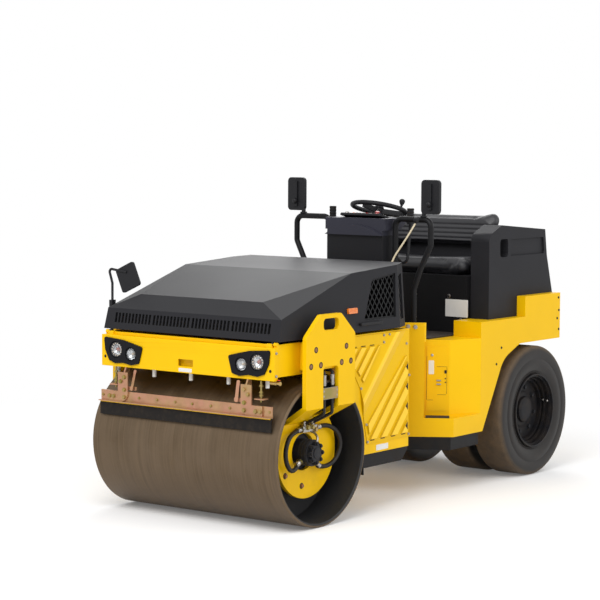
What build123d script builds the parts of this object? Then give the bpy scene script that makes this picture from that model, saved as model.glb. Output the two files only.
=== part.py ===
"""Articulated combination roller: a smooth vibrating drum in front, four smooth tyres behind.

Millimetres, +Z up, +X forward (drum end), +Y the machine's left side.  The origin is on the
ground, halfway along the machine and on its centre plane.
"""
import os
from math import cos, radians, sin, sqrt

from build123d import *

# Driving sizes of the whole machine
drum_diameter = 790.0
drum_width = 1300.0
tyre_diameter = 800.0
tyre_width = 225.0
twin_gap = 55.0
wheelbase = 2200.0

# Clearances and overruns
running_gap = 0.05
running_clear = 5.0
seat_gap = 0.3
cut_over = 40.0

# Places along the machine, worked out from the driving sizes
drum_radius = drum_diameter / 2
tyre_radius = tyre_diameter / 2
overall_length = drum_radius + wheelbase + tyre_radius
x_drum = overall_length / 2 - drum_radius
x_axle = x_drum - wheelbase
x_pivot = (x_drum + x_axle) / 2
half_width = drum_width / 2

# Drum
shell_wall = 22.0
disc_wall = 25.0
disc_inset = 230.0
rim_chamfer = 8.0
hub_radius = 140.0
hub_length = 30.0
stub_radius = 45.0
stub_length = 70.0

# Fork plates that reach down inside the drum's ends
fork_wall = 25.0
fork_centre_back = 30.0
fork_side_gap = 8.0
fork_upper_half = 218.0
fork_top_half = 90.0
fork_top_z = 1144.0
fork_shoulder_z = 1030.0
fork_joggle_top_z = 655.0
fork_joggle_bottom_z = 560.0
fork_inset = 160.0
fork_neck_half = 175.0
fork_lobe_radius = 255.0
fork_round = 30.0
motor_hole_radius = 100.0
sling_slot_width = 135.0
sling_slot_height = 63.0
sling_slot_z = 1090.0
window_width = 135.0
window_top_z = 865.0
window_bottom_z = 600.0
window_round = 22.0
pad_length = 330.0
pad_wall = 58.0
pad_height = 150.0
pad_z = 925.0

# Drum motors
motor_body_radius = 70.0
motor_length = 95.0
motor_flange_radius = 150.0
motor_flange_wall = 14.0
motor_cap_radius = 46.0
motor_cap_length = 22.0
motor_lobe_radius = 13.0
motor_lobe_ring = 50.0
motor_lobes = 8

# Front frame
side_half = half_width + fork_side_gap - pad_wall
plate_wall = 20.0
frame_front_ahead = 330.0
frame_rear_from_pivot = 215.0
deck_z = 1000.0
cross_box_z = 830.0
guard_gap = 33.0
guard_wall = 12.0
belly_z = 330.0
skirt_z = 253.0
skirt_wall = 14.0
skirt_rise = 60.0
bulkhead_window_half = 130.0
bulkhead_window_low = 470.0
bulkhead_window_high = 590.0
engine_length = 440.0
engine_half = 240.0
engine_low_z = 760.0
engine_high_z = 1230.0
engine_front_behind = 385.0
bearer_width = 50.0
bearer_height = 40.0

# Louvred panels on the front frame's sides, places from the drum's axle
louvre_sheet = 4.0
louvre_rise = 10.0
louvre_taper = 25.0
louvre_lean = 48.0
louvre_reach = 900.0
louvre_low_z = 386.0
louvre_top_inset = 8.0
louvre_rear_inset = 13.0
ridge_behind = 416.0
ridge_z = 611.0
ridge_half = 62.0
ridge_height = 12.0
louvre_edge = (
    # behind the drum's axle, z
    (479.0, louvre_low_z),
    (443.0, 534.0),
    (409.0, 700.0),
    (348.0, 790.0),
    (262.0, 835.0),
)
small_field = (
    # behind the drum's axle, z
    (265.0, 930.0),
    (590.0, 930.0),
    (430.0, 730.0),
    (370.0, 800.0),
    (265.0, 850.0),
)
large_field = (
    # behind the drum's axle, z
    (490.0, 408.0),
    (862.0, 408.0),
    (862.0, 850.0),
    (835.0, 850.0),
    (470.0, 500.0),
)
louvre_fields = (
    # field, distance of its first strip behind the axle at its lowest z, pitch, width, strips
    (small_field, 90.0, 82.0, 56.0, 5),
    (large_field, 424.0, 101.0, 68.0, 5),
)

# Lamp panel across the front
panel_proud = 6.0
panel_half = side_half + panel_proud
panel_low_z = 812.0
panel_high_z = 985.0
panel_wall = 12.0
panel_depth = 30.0
tow_width = 105.0
tow_height = 38.0
tow_z = 866.0
lamp_round_y = 388.0
lamp_round_z = 887.0
lamp_round_radius = 38.0
lamp_ring_y = 496.0
lamp_ring_z = 906.0
lamp_ring_radius = 46.0
lens_inset = 6.0
bezel_wall = 9.0
bezel_round = 12.0
bezel_corners = (
    # y, z
    (302.0, 930.0),
    (442.0, 962.0),
    (582.0, 973.0),
    (574.0, 902.0),
    (545.0, 846.0),
    (500.0, 830.0),
    (440.0, 836.0),
    (382.0, 826.0),
    (328.0, 838.0),
)

# Hood
hood_wall = 8.0
hood_low_z = 1015.0
hood_front_ahead = 331.0
hood_proud = 17.0
hood_low_half = side_half + hood_proud
hood_taper_share = 0.075
fold_one_ahead = 306.0
fold_one_z = 1129.0
fold_two_ahead = 235.0
fold_two_inset = 171.0
fold_two_half = side_half - fold_two_inset
fold_two_z = 1208.0
fold_three_behind = 335.0
fold_three_z = 1340.0
hood_rear_from_pivot = 220.0
hood_rear_z = 1373.0
hood_corner_length = 112.0
hood_corner_inset = 42.0
hood_hinge_ahead = 325.0
hood_hinge_z = 1000.0
hood_pin_radius = 6.0
hood_eye_radius = 11.0
hood_ear_wall = 12.0
hood_ear_gap = 6.0
hood_ear_rise = 100.0
hood_ear_back = 44.0
slot_width = 15.0
slot_height = 54.0
slot_pitch = 24.5
slot_count = 11
slot_group_pitch = 277.0
slot_groups = 4
slot_z = 1078.0
grille_columns = 9
grille_rows = 7
grille_pitch = 43.0
grille_rise = 54.0
grille_hole_half = 17.0
grille_hole_rise_half = 22.0
grille_border = 9.0
grille_wall = 3.0
grille_lap = 10.0
side_grille = (
    # behind the drum's axle, above the hood's lower edge
    (430.0, 62.0),
    (735.0, 62.0),
    (750.0, 308.0),
    (525.0, 284.0),
)
rear_grille = (
    # along the corner's slant, above the hood's lower edge
    (24.0, 45.0),
    (92.0, 45.0),
    (92.0, 300.0),
    (24.0, 290.0),
)
side_lamp_behind = 315.0
side_lamp_rise = 122.0
side_lamp_length = 82.0
side_lamp_height = 30.0
side_lamp_wall = 12.0
grip_behind = 477.0
grip_rise = 43.0
grip_length = 200.0
grip_bar_height = 15.0
grip_proud = 20.0
grip_slot = 8.0
grip_post = 16.0

# Scrapers, spray pipe and front mirror
scraper_ahead = 372.0
scraper_z = 650.0
scraper_bar_wall = 10.0
scraper_bar_height = 60.0
rubber_height = 75.0
rubber_wall = 8.0

bracket_height = 136.0
bracket_wall = 8.0
bracket_stem = 72.0
bracket_foot = 145.0
bracket_round = 45.0
bracket_inner_y = 398.0
arm_sheet = 10.0
lip_depth = 24.0
lip_wall = 5.0
spray_pipe_radius = 12.0
spray_behind = 18.0
nozzle_radius = 11.0
nozzle_drop = 38.0
nozzle_pitch = 262.0
nozzle_count = 5
rear_blade_behind = 404.0
rear_blade_z = 262.0
rear_blade_height = 70.0
rear_blade_wall = 9.0
rear_arm_y = 430.0
rear_arm_wall = 30.0
rear_arm_drop = 100.0
corner_ahead = 261.0
corner_foot_low_z = 1128.0
corner_foot_high_z = 1168.0
corner_foot_half = 15.0
corner_out = 12.0
corner_arm = (
    # outside the hood's lower half width, z
    (1.0, corner_foot_high_z),
    (1.0, 1262.0),
    (28.0, 1342.0),
    (-106.0, 1326.0),
)
corner_arm_radius = 7.0
corner_arm_bend = 16.0
corner_glass = 138.0
corner_glass_wall = 14.0
corner_glass_turn = 24.0
corner_glass_inset = 112.0
corner_glass_z = 1298.0

# Hoses that feed the drum motors, places from the drum's axle
hose_radius = 9.0
loop_radius = 12.5
hose_y = 663.0
hose_start_z = 840.0
hose_bend = 18.0
sleeve_wall = 2.5
sleeve_high_z = 818.0
sleeve_low_z = 762.0
clamp_wall = 6.0
clamp_high_z = 752.0
clamp_low_z = 690.0
clamp_y = 674.0
block_front = 48.0
block_back = -78.0
block_low_z = 506.0
block_high_z = 538.0
block_wall = 36.0
hose_runs = (
    # ahead of the drum's axle at the top, at the manifold block
    (4.0, 20.0),
    (-68.0, -50.0),
)
hose_knee_z = 612.0
loops = (
    # direction at the start, at the end, points: ahead of the drum's axle, outside the fork
    # plate's lower face, above the axle
    ((-1, 0, 0), (1, 0, 1), ((-78.3, 22.0, 127.0), (-190.0, 26.0, 122.0), (-262.0, 34.0, 78.0),
                             (-286.0, 36.0, 18.0), (-258.0, 36.0, -48.0), (-170.0, 34.0, -92.0),
                             (-95.0, 34.0, -86.0), (-50.0, 34.0, -50.0))),
    ((1, 0, 0), (-2, 0, 1), ((48.3, 22.0, 127.0), (100.0, 24.0, 120.0), (168.0, 34.0, 92.0),
                             (198.0, 36.0, 33.0), (186.0, 36.0, -45.0), (140.0, 36.0, -82.0),
                             (96.0, 34.0, -62.0), (63.5, 34.0, -31.5))),
)
hose_end_gap = 9.0

# Pivot between the two frames
pivot_z = 530.0
lug_wall = 40.0
lug_gap = 220.0
lug_half = 70.0
pin_radius = 30.0
knuckle_radius = 60.0
knuckle_clear = 5.0
boss_radius = 70.0
boss_reach = 165.0
trunnion_radius = 45.0
trunnion_length = 180.0
steer_arm = 120.0
arm_half = 30.0
arm_wall = 15.0
arm_gap = 36.0

# Steering cylinder
cylinder_base_ahead = 450.0
cylinder_base_y = 20.0
eye_radius = 24.0
eye_wall = 30.0
barrel_radius = 30.0
rod_radius = 15.0
barrel_share = 0.62
base_pin_radius = 14.0
rod_engage = 110.0

# Rear frame, in plan and in side view
rear_proud = 20.0
rear_half = side_half + rear_proud
nose_angle = 34.0
nose_reach = 160.0
nose_flat = 150.0
step_z = 440.0
floor_z = 890.0
toe_z = 1000.0
toe_wall = 14.0
pocket_half = 240.0
pocket_back = 170.0
pocket_top_z = 712.0
niche_start_y = 475.0
niche_depth = 110.0
niche_run = 150.0
arch_front_back = 515.0
arch_top_z = 825.0
spine_half = 125.0
spine_low_z = 300.0
rear_plate_back = 1440.0
fender_z = 985.0
tail_front_back = 1017.0
tail_z = 1110.0
rear_skirt_depth = 77.0
arch_top_ahead = 140.0
arch_shoulder_ahead = 330.0
arch_shoulder_z = 745.0
arch_foot_ahead = 560.0
arch_round = 190.0
arch_top_round = 70.0

# Seat shell, seat and floor
shell_inset = 60.0
shell_half = rear_half - shell_inset
shell_side_wall = 130.0
shell_front_back = 690.0
seat_side_gap = 5.0
seat_half = shell_half - shell_side_wall - seat_side_gap
seat_front_back = 650.0
seat_low_z = 1245.0
seat_high_z = 1350.0
backrest_front_back = 985.0
backrest_wall = 95.0
backrest_lean = 45.0
backrest_top_z = 1638.0
backrest_low_z = 1370.0
mat_wall = 8.0
shell_shoulder_z = 1490.0
shell_peak_back = 830.0
shell_top_z = 1550.0
shell_rear_top_back = 1345.0
shell_rear_top_z = 1510.0
shell_rear_mid_back = 1370.0
shell_rear_mid_z = 1345.0
shell_rear_low_back = 1440.0
seat_base_wall = 15.0
seat_round = 30.0
handle_back = 860.0
handle_z = 1410.0
handle_width = 90.0
handle_height = 110.0
handle_round = 20.0
shell_relief = 12.0
relief_low_z = 1360.0
relief_high_z = 1462.0
relief_front_back = 935.0
relief_rear_back = 1338.0
shell_round = 55.0

# Console and controls
console_half = 200.0
console_front_back = 80.0
console_depth = 170.0
console_top_z = 1600.0
cap_half = 215.0
cap_over = 90.0
cap_height = 70.0
wheel_radius = 175.0
wheel_rim = 14.0
wheel_back = 330.0
wheel_z = 1650.0
wheel_tilt = 15.0
wheel_spokes = 3
column_radius = 24.0
column_bore = 12.0
lever_y = 285.0
lever_radius = 9.0
column_foot = 190.0
column_gap = 30.0
knob_stem = 7.0
knob_radius = 17.0
knob_height = 62.0
knob_full_height = 44.0
visor_half = 205.0
visor_low_z = 1500.0
visor_peak_z = 1562.0
visor_wall = 22.0
lever_foot_back = 140.0
lever_low_z = 1340.0
lever_top_back = 170.0
lever_high_z = 1565.0
lever_bend = 30.0
grip_radius = 20.0
grip_height = 95.0

# Grab rails and mirrors
rail_radius = 17.0
rail_back = 160.0
rail_bend = 45.0
rail_top_z = 1600.0
rail_foot_inset = 245.0
rail_low_bend_z = 1190.0
rail_knee_inset = 200.0
rail_knee_z = 1310.0
rail_top_inset = 130.0
rail_high_bend_z = 1450.0
rail_console_gap = 40.0
mirror_width = 125.0
mirror_height = 200.0
mirror_wall = 24.0
mirror_y = rear_half - rail_top_inset
mirror_arm_inset = 50.0
mirror_arm_y = mirror_y - mirror_arm_inset
mirror_z = 1732.0
mirror_arm_radius = 8.0
pane_wall = 2.0
pane_border = 10.0
mirror_rib = 26.0
mirror_rib_proud = 10.0

# Wheels
rim_radius = 226.0
rim_wall = 8.0
rim_dish = 95.0
rim_rings = (
    # depth from the tyre's face, width along the axle, inner radius
    (16.0, 14.0, 208.0),
    (48.0, 12.0, 196.0),
    (70.0, 25.0, 182.0),
)
tyre_shoulder = 32.0
axle_radius = 75.0
axle_flange_radius = 120.0
axle_z = tyre_radius
axle_flange_wall = 20.0
rim_disc_wall = 14.0
hub_drum_radius = 110.0

# Rear lamps
tail_lamp_width = 70.0
tail_lamp_height = 110.0
tail_lamp_wall = 40.0
tail_lamp_y = 500.0
tail_lamp_z = 900.0

# Service doors and treads in the step niches
door_inset = 14.0
door_low_z = 470.0
door_high_z = 850.0
door_wall = 3.0
tread_wall = 4.0
tread_inset = 10.0
tread_length = 110.0

# Towing clevis
tow_clevis_z = 500.0
tow_gap = 60.0
tow_ear_wall = 20.0
tow_ear_radius = 22.0
tow_pin_radius = 15.0
tow_reach = 34.0

x_frame_front = x_drum + frame_front_ahead
x_frame_rear = x_pivot + frame_rear_from_pivot
drum_z = drum_radius
os.makedirs("parts", exist_ok=True)


def side_plane(y):
    """Sketch plane that looks at the machine's left side, at the height of y; extrudes towards -Y."""
    return Plane(origin=(0, y, 0), x_dir=(1, 0, 0), z_dir=(0, -1, 0))


def front_plane(x):
    """Sketch plane across the machine at x, local x along +Y; extrudes towards +X."""
    return Plane(origin=(x, 0, 0), x_dir=(0, 1, 0), z_dir=(1, 0, 0))


def keep(block, label):
    """Name a finished piece and write it."""
    block.part.label = label
    export_step(block.part, "parts/" + label + ".step")


def outline(points):
    """Closed face through the given points, added to the sketch that is open."""
    Polygon(*points, align=None)


def tube(points, radius, bend):
    """Round bar along straight runs that are joined by arcs."""
    with BuildPart() as bar:
        with BuildLine() as path:
            FilletPolyline(*points, radius=bend)
        with BuildSketch(Plane(origin=path.line @ 0, z_dir=path.line % 0)):
            Circle(radius)
        sweep()
    return bar.part


# Drum: open-ended shell with a disc set in from each end, and a stub shaft on each disc
disc_y = half_width - disc_inset
with BuildPart() as drum:
    with BuildSketch(side_plane(half_width)):
        with Locations((x_drum, drum_z)):
            Circle(drum_radius)
            Circle(drum_radius - shell_wall, mode=Mode.SUBTRACT)
    extrude(amount=drum_width)
    chamfer(drum.edges().filter_by(GeomType.CIRCLE).group_by(Axis.Y)[0], rim_chamfer)
    chamfer(drum.edges().filter_by(GeomType.CIRCLE).group_by(Axis.Y)[-1], rim_chamfer)
    for side in (1, -1):
        with BuildSketch(side_plane(side * disc_y + disc_wall / 2)):
            with Locations((x_drum, drum_z)):
                Circle(drum_radius - shell_wall)
        extrude(amount=disc_wall)
keep(drum, "drum")

hub_face_y = disc_y + disc_wall / 2
for side, name in ((1, "left"), (-1, "right")):
    with BuildPart() as hub:
        with BuildSketch(side_plane(side * hub_face_y)):
            with Locations((x_drum, drum_z)):
                Circle(hub_radius)
        extrude(amount=-side * hub_length)
        with BuildSketch(side_plane(side * (hub_face_y + hub_length))):
            with Locations((x_drum, drum_z)):
                Circle(stub_radius)
        extrude(amount=-side * stub_length)
    keep(hub, "drum_hub_" + name)

# Fork plates: one bent plate a side, outside the frame above and inside the drum's end below
x_fork = x_drum - fork_centre_back
fork_out_y = half_width + fork_side_gap + fork_wall
fork_mid_y = fork_out_y - fork_wall / 2
fork_low_y = fork_mid_y - fork_inset
fork_low_z = drum_z - fork_lobe_radius


def fork_plate(side):
    """Bent strip with its side outline, its two windows and the hole for the drum motor."""
    strip = (
        (fork_mid_y, fork_top_z + cut_over),
        (fork_mid_y, fork_joggle_top_z),
        (fork_low_y, fork_joggle_bottom_z),
        (fork_low_y, fork_low_z - cut_over),
    )
    with BuildPart() as plate:
        with BuildSketch(front_plane(x_fork - fork_lobe_radius - cut_over)):
            with BuildLine():
                Polyline(*[(side * y, z) for y, z in strip])
                offset(amount=fork_wall / 2, side=Side.BOTH, kind=Kind.INTERSECTION)
            make_face()
        extrude(amount=2 * (fork_lobe_radius + cut_over))
        with BuildSketch(side_plane(fork_out_y + cut_over)) as form:
            outline((
                (x_fork - fork_top_half, fork_top_z),
                (x_fork + fork_top_half, fork_top_z),
                (x_fork + fork_upper_half, fork_shoulder_z),
                (x_fork + fork_upper_half, fork_joggle_top_z),
                (x_fork + fork_neck_half, fork_joggle_bottom_z),
                (x_fork + fork_neck_half, drum_z),
                (x_fork - fork_neck_half, drum_z),
                (x_fork - fork_neck_half, fork_joggle_bottom_z),
                (x_fork - fork_upper_half, fork_joggle_top_z),
                (x_fork - fork_upper_half, fork_shoulder_z),
            ))
            with Locations((x_fork, drum_z)):
                Circle(fork_lobe_radius)
            corners = form.vertices().filter_by(lambda v: v.Y > fork_shoulder_z - fork_round)
            fillet(corners, fork_round)
            with Locations((x_fork, sling_slot_z)):
                RectangleRounded(sling_slot_width, sling_slot_height, window_round, mode=Mode.SUBTRACT)
            with Locations((x_fork, (window_top_z + window_bottom_z) / 2)):
                RectangleRounded(window_width, window_top_z - window_bottom_z, window_round,
                                 mode=Mode.SUBTRACT)
            with Locations((x_drum, drum_z)):
                Circle(motor_hole_radius, mode=Mode.SUBTRACT)
        extrude(amount=2 * (fork_out_y + cut_over), mode=Mode.INTERSECT)
    return plate


for side, name in ((1, "left"), (-1, "right")):
    fork = fork_plate(side)
    keep(fork, "fork_" + name)

# Drum motors: flange inside the fork plate's lower lobe, body through its hole
motor_face_y = fork_low_y - fork_wall / 2
for side, name in ((1, "left"), (-1, "right")):
    with BuildPart() as motor:
        with BuildSketch(side_plane(side * motor_face_y)):
            with Locations((x_drum, drum_z)):
                Circle(motor_flange_radius)
        extrude(amount=side * motor_flange_wall)
        with BuildSketch(side_plane(side * (motor_face_y - motor_flange_wall))):
            with Locations((x_drum, drum_z)):
                Circle(motor_body_radius)
        extrude(amount=-side * (motor_flange_wall + motor_length))
        with BuildSketch(side_plane(side * (motor_face_y + motor_length))):
            with Locations((x_drum, drum_z)):
                Circle(motor_cap_radius)
                with PolarLocations(motor_lobe_ring, motor_lobes):
                    Circle(motor_lobe_radius)
        extrude(amount=-side * motor_cap_length)
        with BuildSketch(side_plane(side * (motor_face_y - motor_flange_wall))):
            with Locations((x_drum, drum_z)):
                Circle(stub_radius + running_gap)
        extrude(amount=-side * (stub_length + running_gap), mode=Mode.SUBTRACT)
    keep(motor, "drum_motor_" + name)

# Hoses to the drum motors: two through each fork plate's window down to a manifold block, and
# two loops from the block to the motor
lobe_face_y = fork_low_y + fork_wall / 2
with BuildPart() as hoses:
    for top, low in hose_runs:
        add(tube((
            (x_drum + top, side_half + seat_gap, hose_start_z),
            (x_drum + top, hose_y, hose_start_z),
            (x_drum + top, hose_y, hose_knee_z),
            (x_drum + low, lobe_face_y + block_wall / 2, block_high_z + hose_end_gap),
        ), hose_radius, hose_bend))
    for start, end, places in loops:
        points = [(x_drum + ahead, lobe_face_y + out, drum_z + up) for ahead, out, up in places]
        with BuildLine() as path:
            Spline(*points, tangents=(start, end))
        with BuildSketch(Plane(origin=path.line @ 0, z_dir=path.line % 0)):
            Circle(loop_radius)
        sweep()
    mirror(about=Plane.XZ)
keep(hoses, "drum_hoses")

with BuildPart() as fittings:
    for top, low in hose_runs:
        with BuildSketch(Plane.XY.offset(sleeve_low_z)):
            with Locations((x_drum + top, hose_y)):
                Circle(hose_radius + sleeve_wall)
                Circle(hose_radius + running_gap, mode=Mode.SUBTRACT)
        extrude(amount=sleeve_high_z - sleeve_low_z)
    with BuildSketch(side_plane(clamp_y)):
        with Locations((x_fork, (clamp_low_z + clamp_high_z) / 2)):
            Rectangle(window_width, clamp_high_z - clamp_low_z)
    extrude(amount=-clamp_wall)
    with BuildSketch(side_plane(lobe_face_y)):
        with Locations((x_drum + (block_front + block_back) / 2, (block_low_z + block_high_z) / 2)):
            Rectangle(block_front - block_back, block_high_z - block_low_z)
    extrude(amount=-block_wall)
    mirror(about=Plane.XZ)
keep(fittings, "hose_fittings")

# Front frame: two side plates, a box across above the drum, a guard that follows the drum,
# a floor and a bulkhead behind, and two lugs that carry the pivot pins
guard_radius = drum_radius + guard_gap
x_guard_low = x_drum - sqrt(guard_radius ** 2 - (drum_z - belly_z) ** 2)
lug_low_z = pivot_z - lug_gap / 2
lug_high_z = pivot_z + lug_gap / 2
x_engine = x_drum - engine_front_behind - engine_length / 2
x_hinge = x_drum + hood_hinge_ahead
ear_y = side_half - plate_wall - hood_ear_gap


def side_outline():
    """Outline of the frame seen from the side, with the drum's arc cut away."""
    outline((
        (x_frame_front, cross_box_z),
        (x_frame_front, deck_z),
        (x_frame_rear, deck_z),
        (x_frame_rear, belly_z),
        (x_drum, belly_z),
        (x_drum, cross_box_z),
    ))
    with Locations((x_drum, drum_z)):
        Circle(guard_radius, mode=Mode.SUBTRACT)


with BuildPart() as front_frame:
    with BuildSketch(side_plane(side_half)):
        side_outline()
    extrude(amount=2 * side_half)
    with BuildSketch(side_plane(side_half - plate_wall)):
        outline((
            (x_frame_front - plate_wall, cross_box_z + plate_wall),
            (x_frame_front - plate_wall, deck_z + cut_over),
            (x_frame_rear + plate_wall, deck_z + cut_over),
            (x_frame_rear + plate_wall, belly_z + plate_wall),
            (x_drum, belly_z + plate_wall),
            (x_drum, cross_box_z + plate_wall),
        ))
        with Locations((x_drum, drum_z)):
            Circle(guard_radius + guard_wall, mode=Mode.SUBTRACT)
    extrude(amount=2 * (side_half - plate_wall), mode=Mode.SUBTRACT)
    with BuildSketch(front_plane(x_frame_rear + cut_over)):
        with Locations((0, (bulkhead_window_low + bulkhead_window_high) / 2)):
            RectangleRounded(2 * bulkhead_window_half, bulkhead_window_high - bulkhead_window_low,
                             plate_wall)
    extrude(amount=-2 * cut_over, mode=Mode.SUBTRACT)
    for z in (lug_low_z - lug_wall, lug_high_z):
        with BuildSketch(Plane.XY.offset(z)):
            with Locations(((x_frame_rear + x_pivot) / 2, 0)):
                Rectangle(frame_rear_from_pivot, 2 * lug_half)
            with Locations((x_pivot, 0)):
                Circle(lug_half)
                Circle(pin_radius + running_gap, mode=Mode.SUBTRACT)
        extrude(amount=lug_wall)
    x_base = x_pivot + cylinder_base_ahead
    ear_low_z = pivot_z - arm_gap / 2 - arm_wall
    with BuildSketch(Plane.XY.offset(belly_z + plate_wall)):
        with Locations((x_base, cylinder_base_y)):
            Circle(eye_radius + running_gap + arm_wall)
    extrude(amount=ear_low_z + arm_wall - belly_z - plate_wall)
    with BuildSketch(Plane.XY.offset(ear_low_z + arm_wall)):
        with Locations((x_base, cylinder_base_y)):
            Circle(base_pin_radius)
    extrude(amount=arm_gap)
    with BuildSketch(side_plane(side_half - plate_wall)):
        with Locations((x_engine, engine_low_z - bearer_height / 2)):
            with GridLocations(engine_length - bearer_width, bearer_height, 2, 1):
                Rectangle(bearer_width, bearer_height)
    extrude(amount=2 * (side_half - plate_wall))
    for side in (1, -1):
        with BuildSketch(side_plane(side * side_half)):
            with Locations((x_hinge, hood_hinge_z)):
                Circle(hood_eye_radius)
        extrude(amount=side * plate_wall)
    with BuildSketch(side_plane(side_half - plate_wall)):
        with Locations((x_frame_front, panel_high_z)):
            Rectangle(plate_wall + 2 * hood_eye_radius, deck_z,
                      align=(Align.MAX, Align.MIN))
    extrude(amount=2 * (side_half - plate_wall), mode=Mode.SUBTRACT)
    for side in (1, -1):
        with BuildSketch(side_plane(side * (side_half - plate_wall))):
            with Locations((x_hinge, hood_hinge_z)):
                Circle(hood_pin_radius)
        extrude(amount=side * (hood_ear_gap + hood_ear_wall))
keep(front_frame, "front_frame")

with BuildPart() as skirts:
    for side in (1, -1):
        with BuildSketch(side_plane(side * (side_half - plate_wall))):
            outline((
                (x_frame_rear, belly_z),
                (x_frame_rear, skirt_z + skirt_rise),
                (x_frame_rear + skirt_rise, skirt_z),
                (x_guard_low - skirt_wall, skirt_z),
                (x_guard_low, belly_z),
            ))
        extrude(amount=-side * skirt_wall)
keep(skirts, "front_skirts")

with BuildPart() as engine:
    with BuildSketch(Plane.XY.offset(engine_low_z)):
        with Locations((x_engine, 0)):
            Rectangle(engine_length, 2 * engine_half)
    extrude(amount=engine_high_z - engine_low_z)
keep(engine, "engine_block")

# Blocks between the side plates and the fork plates
for side, name in ((1, "left"), (-1, "right")):
    with BuildPart() as pad:
        with BuildSketch(side_plane(side * side_half)):
            with Locations((x_fork, pad_z)):
                Rectangle(pad_length, pad_height)
        extrude(amount=-side * pad_wall)
    keep(pad, "fork_pad_" + name)

# Louvred panels: a sheet with a slanted ridge and two fields of raised strips
x_louvre_rear = x_frame_rear + louvre_rear_inset
louvre_run = cos(radians(louvre_lean)) / sin(radians(louvre_lean)) * louvre_reach
panel_points = (
    [(x_drum - back, z) for back, z in louvre_edge]
    + [(x_drum - louvre_edge[-1][0], deck_z - louvre_top_inset)]
    + [(x_louvre_rear, deck_z - louvre_top_inset), (x_louvre_rear, louvre_low_z)]
)
for side, name in ((1, "left"), (-1, "right")):
    with BuildPart() as louvre_panel:
        with BuildSketch(side_plane(side * side_half)):
            outline(panel_points)
        extrude(amount=-side * louvre_sheet)
        for field, first, pitch, width, strips in louvre_fields:
            low_z = min(z for back, z in field)
            with BuildSketch(side_plane(side * (side_half + louvre_sheet))):
                for strip in range(strips):
                    x = x_drum - first - strip * pitch
                    outline((
                        (x + width / 2, low_z),
                        (x - width / 2, low_z),
                        (x - width / 2 - louvre_run, low_z + louvre_reach),
                        (x + width / 2 - louvre_run, low_z + louvre_reach),
                    ))
                Polygon(*[(x_drum - back, z) for back, z in field], align=None,
                        mode=Mode.INTERSECT)
            extrude(amount=-side * louvre_rise, taper=louvre_taper)
        ridge = Plane(origin=(x_drum - ridge_behind, side * (side_half + louvre_sheet), ridge_z),
                      x_dir=(sin(radians(louvre_lean)), 0, cos(radians(louvre_lean))),
                      z_dir=(-cos(radians(louvre_lean)), 0, sin(radians(louvre_lean))))
        with BuildSketch(ridge):
            outline(((-ridge_half, 0), (0, side * ridge_height), (ridge_half, 0)))
        extrude(amount=louvre_reach, both=True)
        with BuildSketch(side_plane(side * side_half)):
            outline(panel_points)
        extrude(amount=-side * (louvre_sheet + ridge_height), mode=Mode.INTERSECT)
    keep(louvre_panel, "louvre_panel_" + name)

# Lamp panel: shallow tray across the front, with openings for the lamps and for towing
with BuildPart() as lamp_panel:
    with BuildSketch(front_plane(x_frame_front)):
        with Locations((0, (panel_low_z + panel_high_z) / 2)):
            Rectangle(2 * panel_half, panel_high_z - panel_low_z)
    extrude(amount=panel_depth)
    with BuildSketch(front_plane(x_frame_front)):
        with Locations((0, (panel_low_z + panel_high_z) / 2)):
            Rectangle(2 * (panel_half - panel_wall), panel_high_z - panel_low_z - 2 * panel_wall)
    extrude(amount=panel_depth - panel_wall, mode=Mode.SUBTRACT)
    with BuildSketch(front_plane(x_frame_front + panel_depth)):
        with Locations((0, tow_z)):
            Rectangle(tow_width, tow_height)
        for side in (1, -1):
            with Locations((side * lamp_round_y, lamp_round_z)):
                Circle(lamp_round_radius + running_gap)
            with Locations((side * lamp_ring_y, lamp_ring_z)):
                Circle(lamp_ring_radius + running_gap)
    extrude(amount=-panel_wall - cut_over, mode=Mode.SUBTRACT)
keep(lamp_panel, "lamp_panel")

lamps = (
    # y, z, radius
    (lamp_round_y, lamp_round_z, lamp_round_radius),
    (lamp_ring_y, lamp_ring_z, lamp_ring_radius),
)
with BuildPart() as headlamps:
    for side in (1, -1):
        for y, z, radius in lamps:
            with BuildSketch(front_plane(x_frame_front)):
                with Locations((side * y, z)):
                    Circle(radius)
            extrude(amount=panel_depth + bezel_wall - lens_inset)
keep(headlamps, "headlamps")

with BuildPart() as bezels:
    for side in (1, -1):
        with BuildSketch(front_plane(x_frame_front + panel_depth)) as face:
            outline([(side * y, z) for y, z in bezel_corners])
            fillet(face.vertices(), bezel_round)
            for y, z, radius in lamps:
                with Locations((side * y, z)):
                    Circle(radius + running_gap, mode=Mode.SUBTRACT)
        extrude(amount=bezel_wall)
keep(bezels, "lamp_bezels")

# Hood: one faceted shell, open below, hinged at its front lower edge
x_hood_rear = x_pivot + hood_rear_from_pivot


def facet(a, b, c):
    """Plane through three points."""
    first, second, third = Vector(*a), Vector(*b), Vector(*c)
    return Plane(origin=first, x_dir=second - first, z_dir=(second - first).cross(third - first))


def hood_half(z):
    """Half width of the hood's side faces at a height."""
    return hood_low_half - hood_taper_share * (z - hood_low_z)


def hood_flank(side):
    """Plane of the hood's side face; local x runs back from the drum's axle, local y up."""
    return facet(
        (x_drum, side * hood_half(hood_low_z), hood_low_z),
        (x_drum - hood_wall, side * hood_half(hood_low_z), hood_low_z),
        (x_drum, side * hood_half(hood_rear_z), hood_rear_z),
    )


def hood_corner(side):
    """Plane of the hood's slanted rear corner; local x runs back and inward, local y up."""
    return facet(
        (x_hood_rear + hood_corner_length, side * hood_half(hood_low_z), hood_low_z),
        (x_hood_rear, side * (hood_half(hood_low_z) - hood_corner_inset), hood_low_z),
        (x_hood_rear + hood_corner_length, side * hood_half(hood_rear_z), hood_rear_z),
    )


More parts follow.
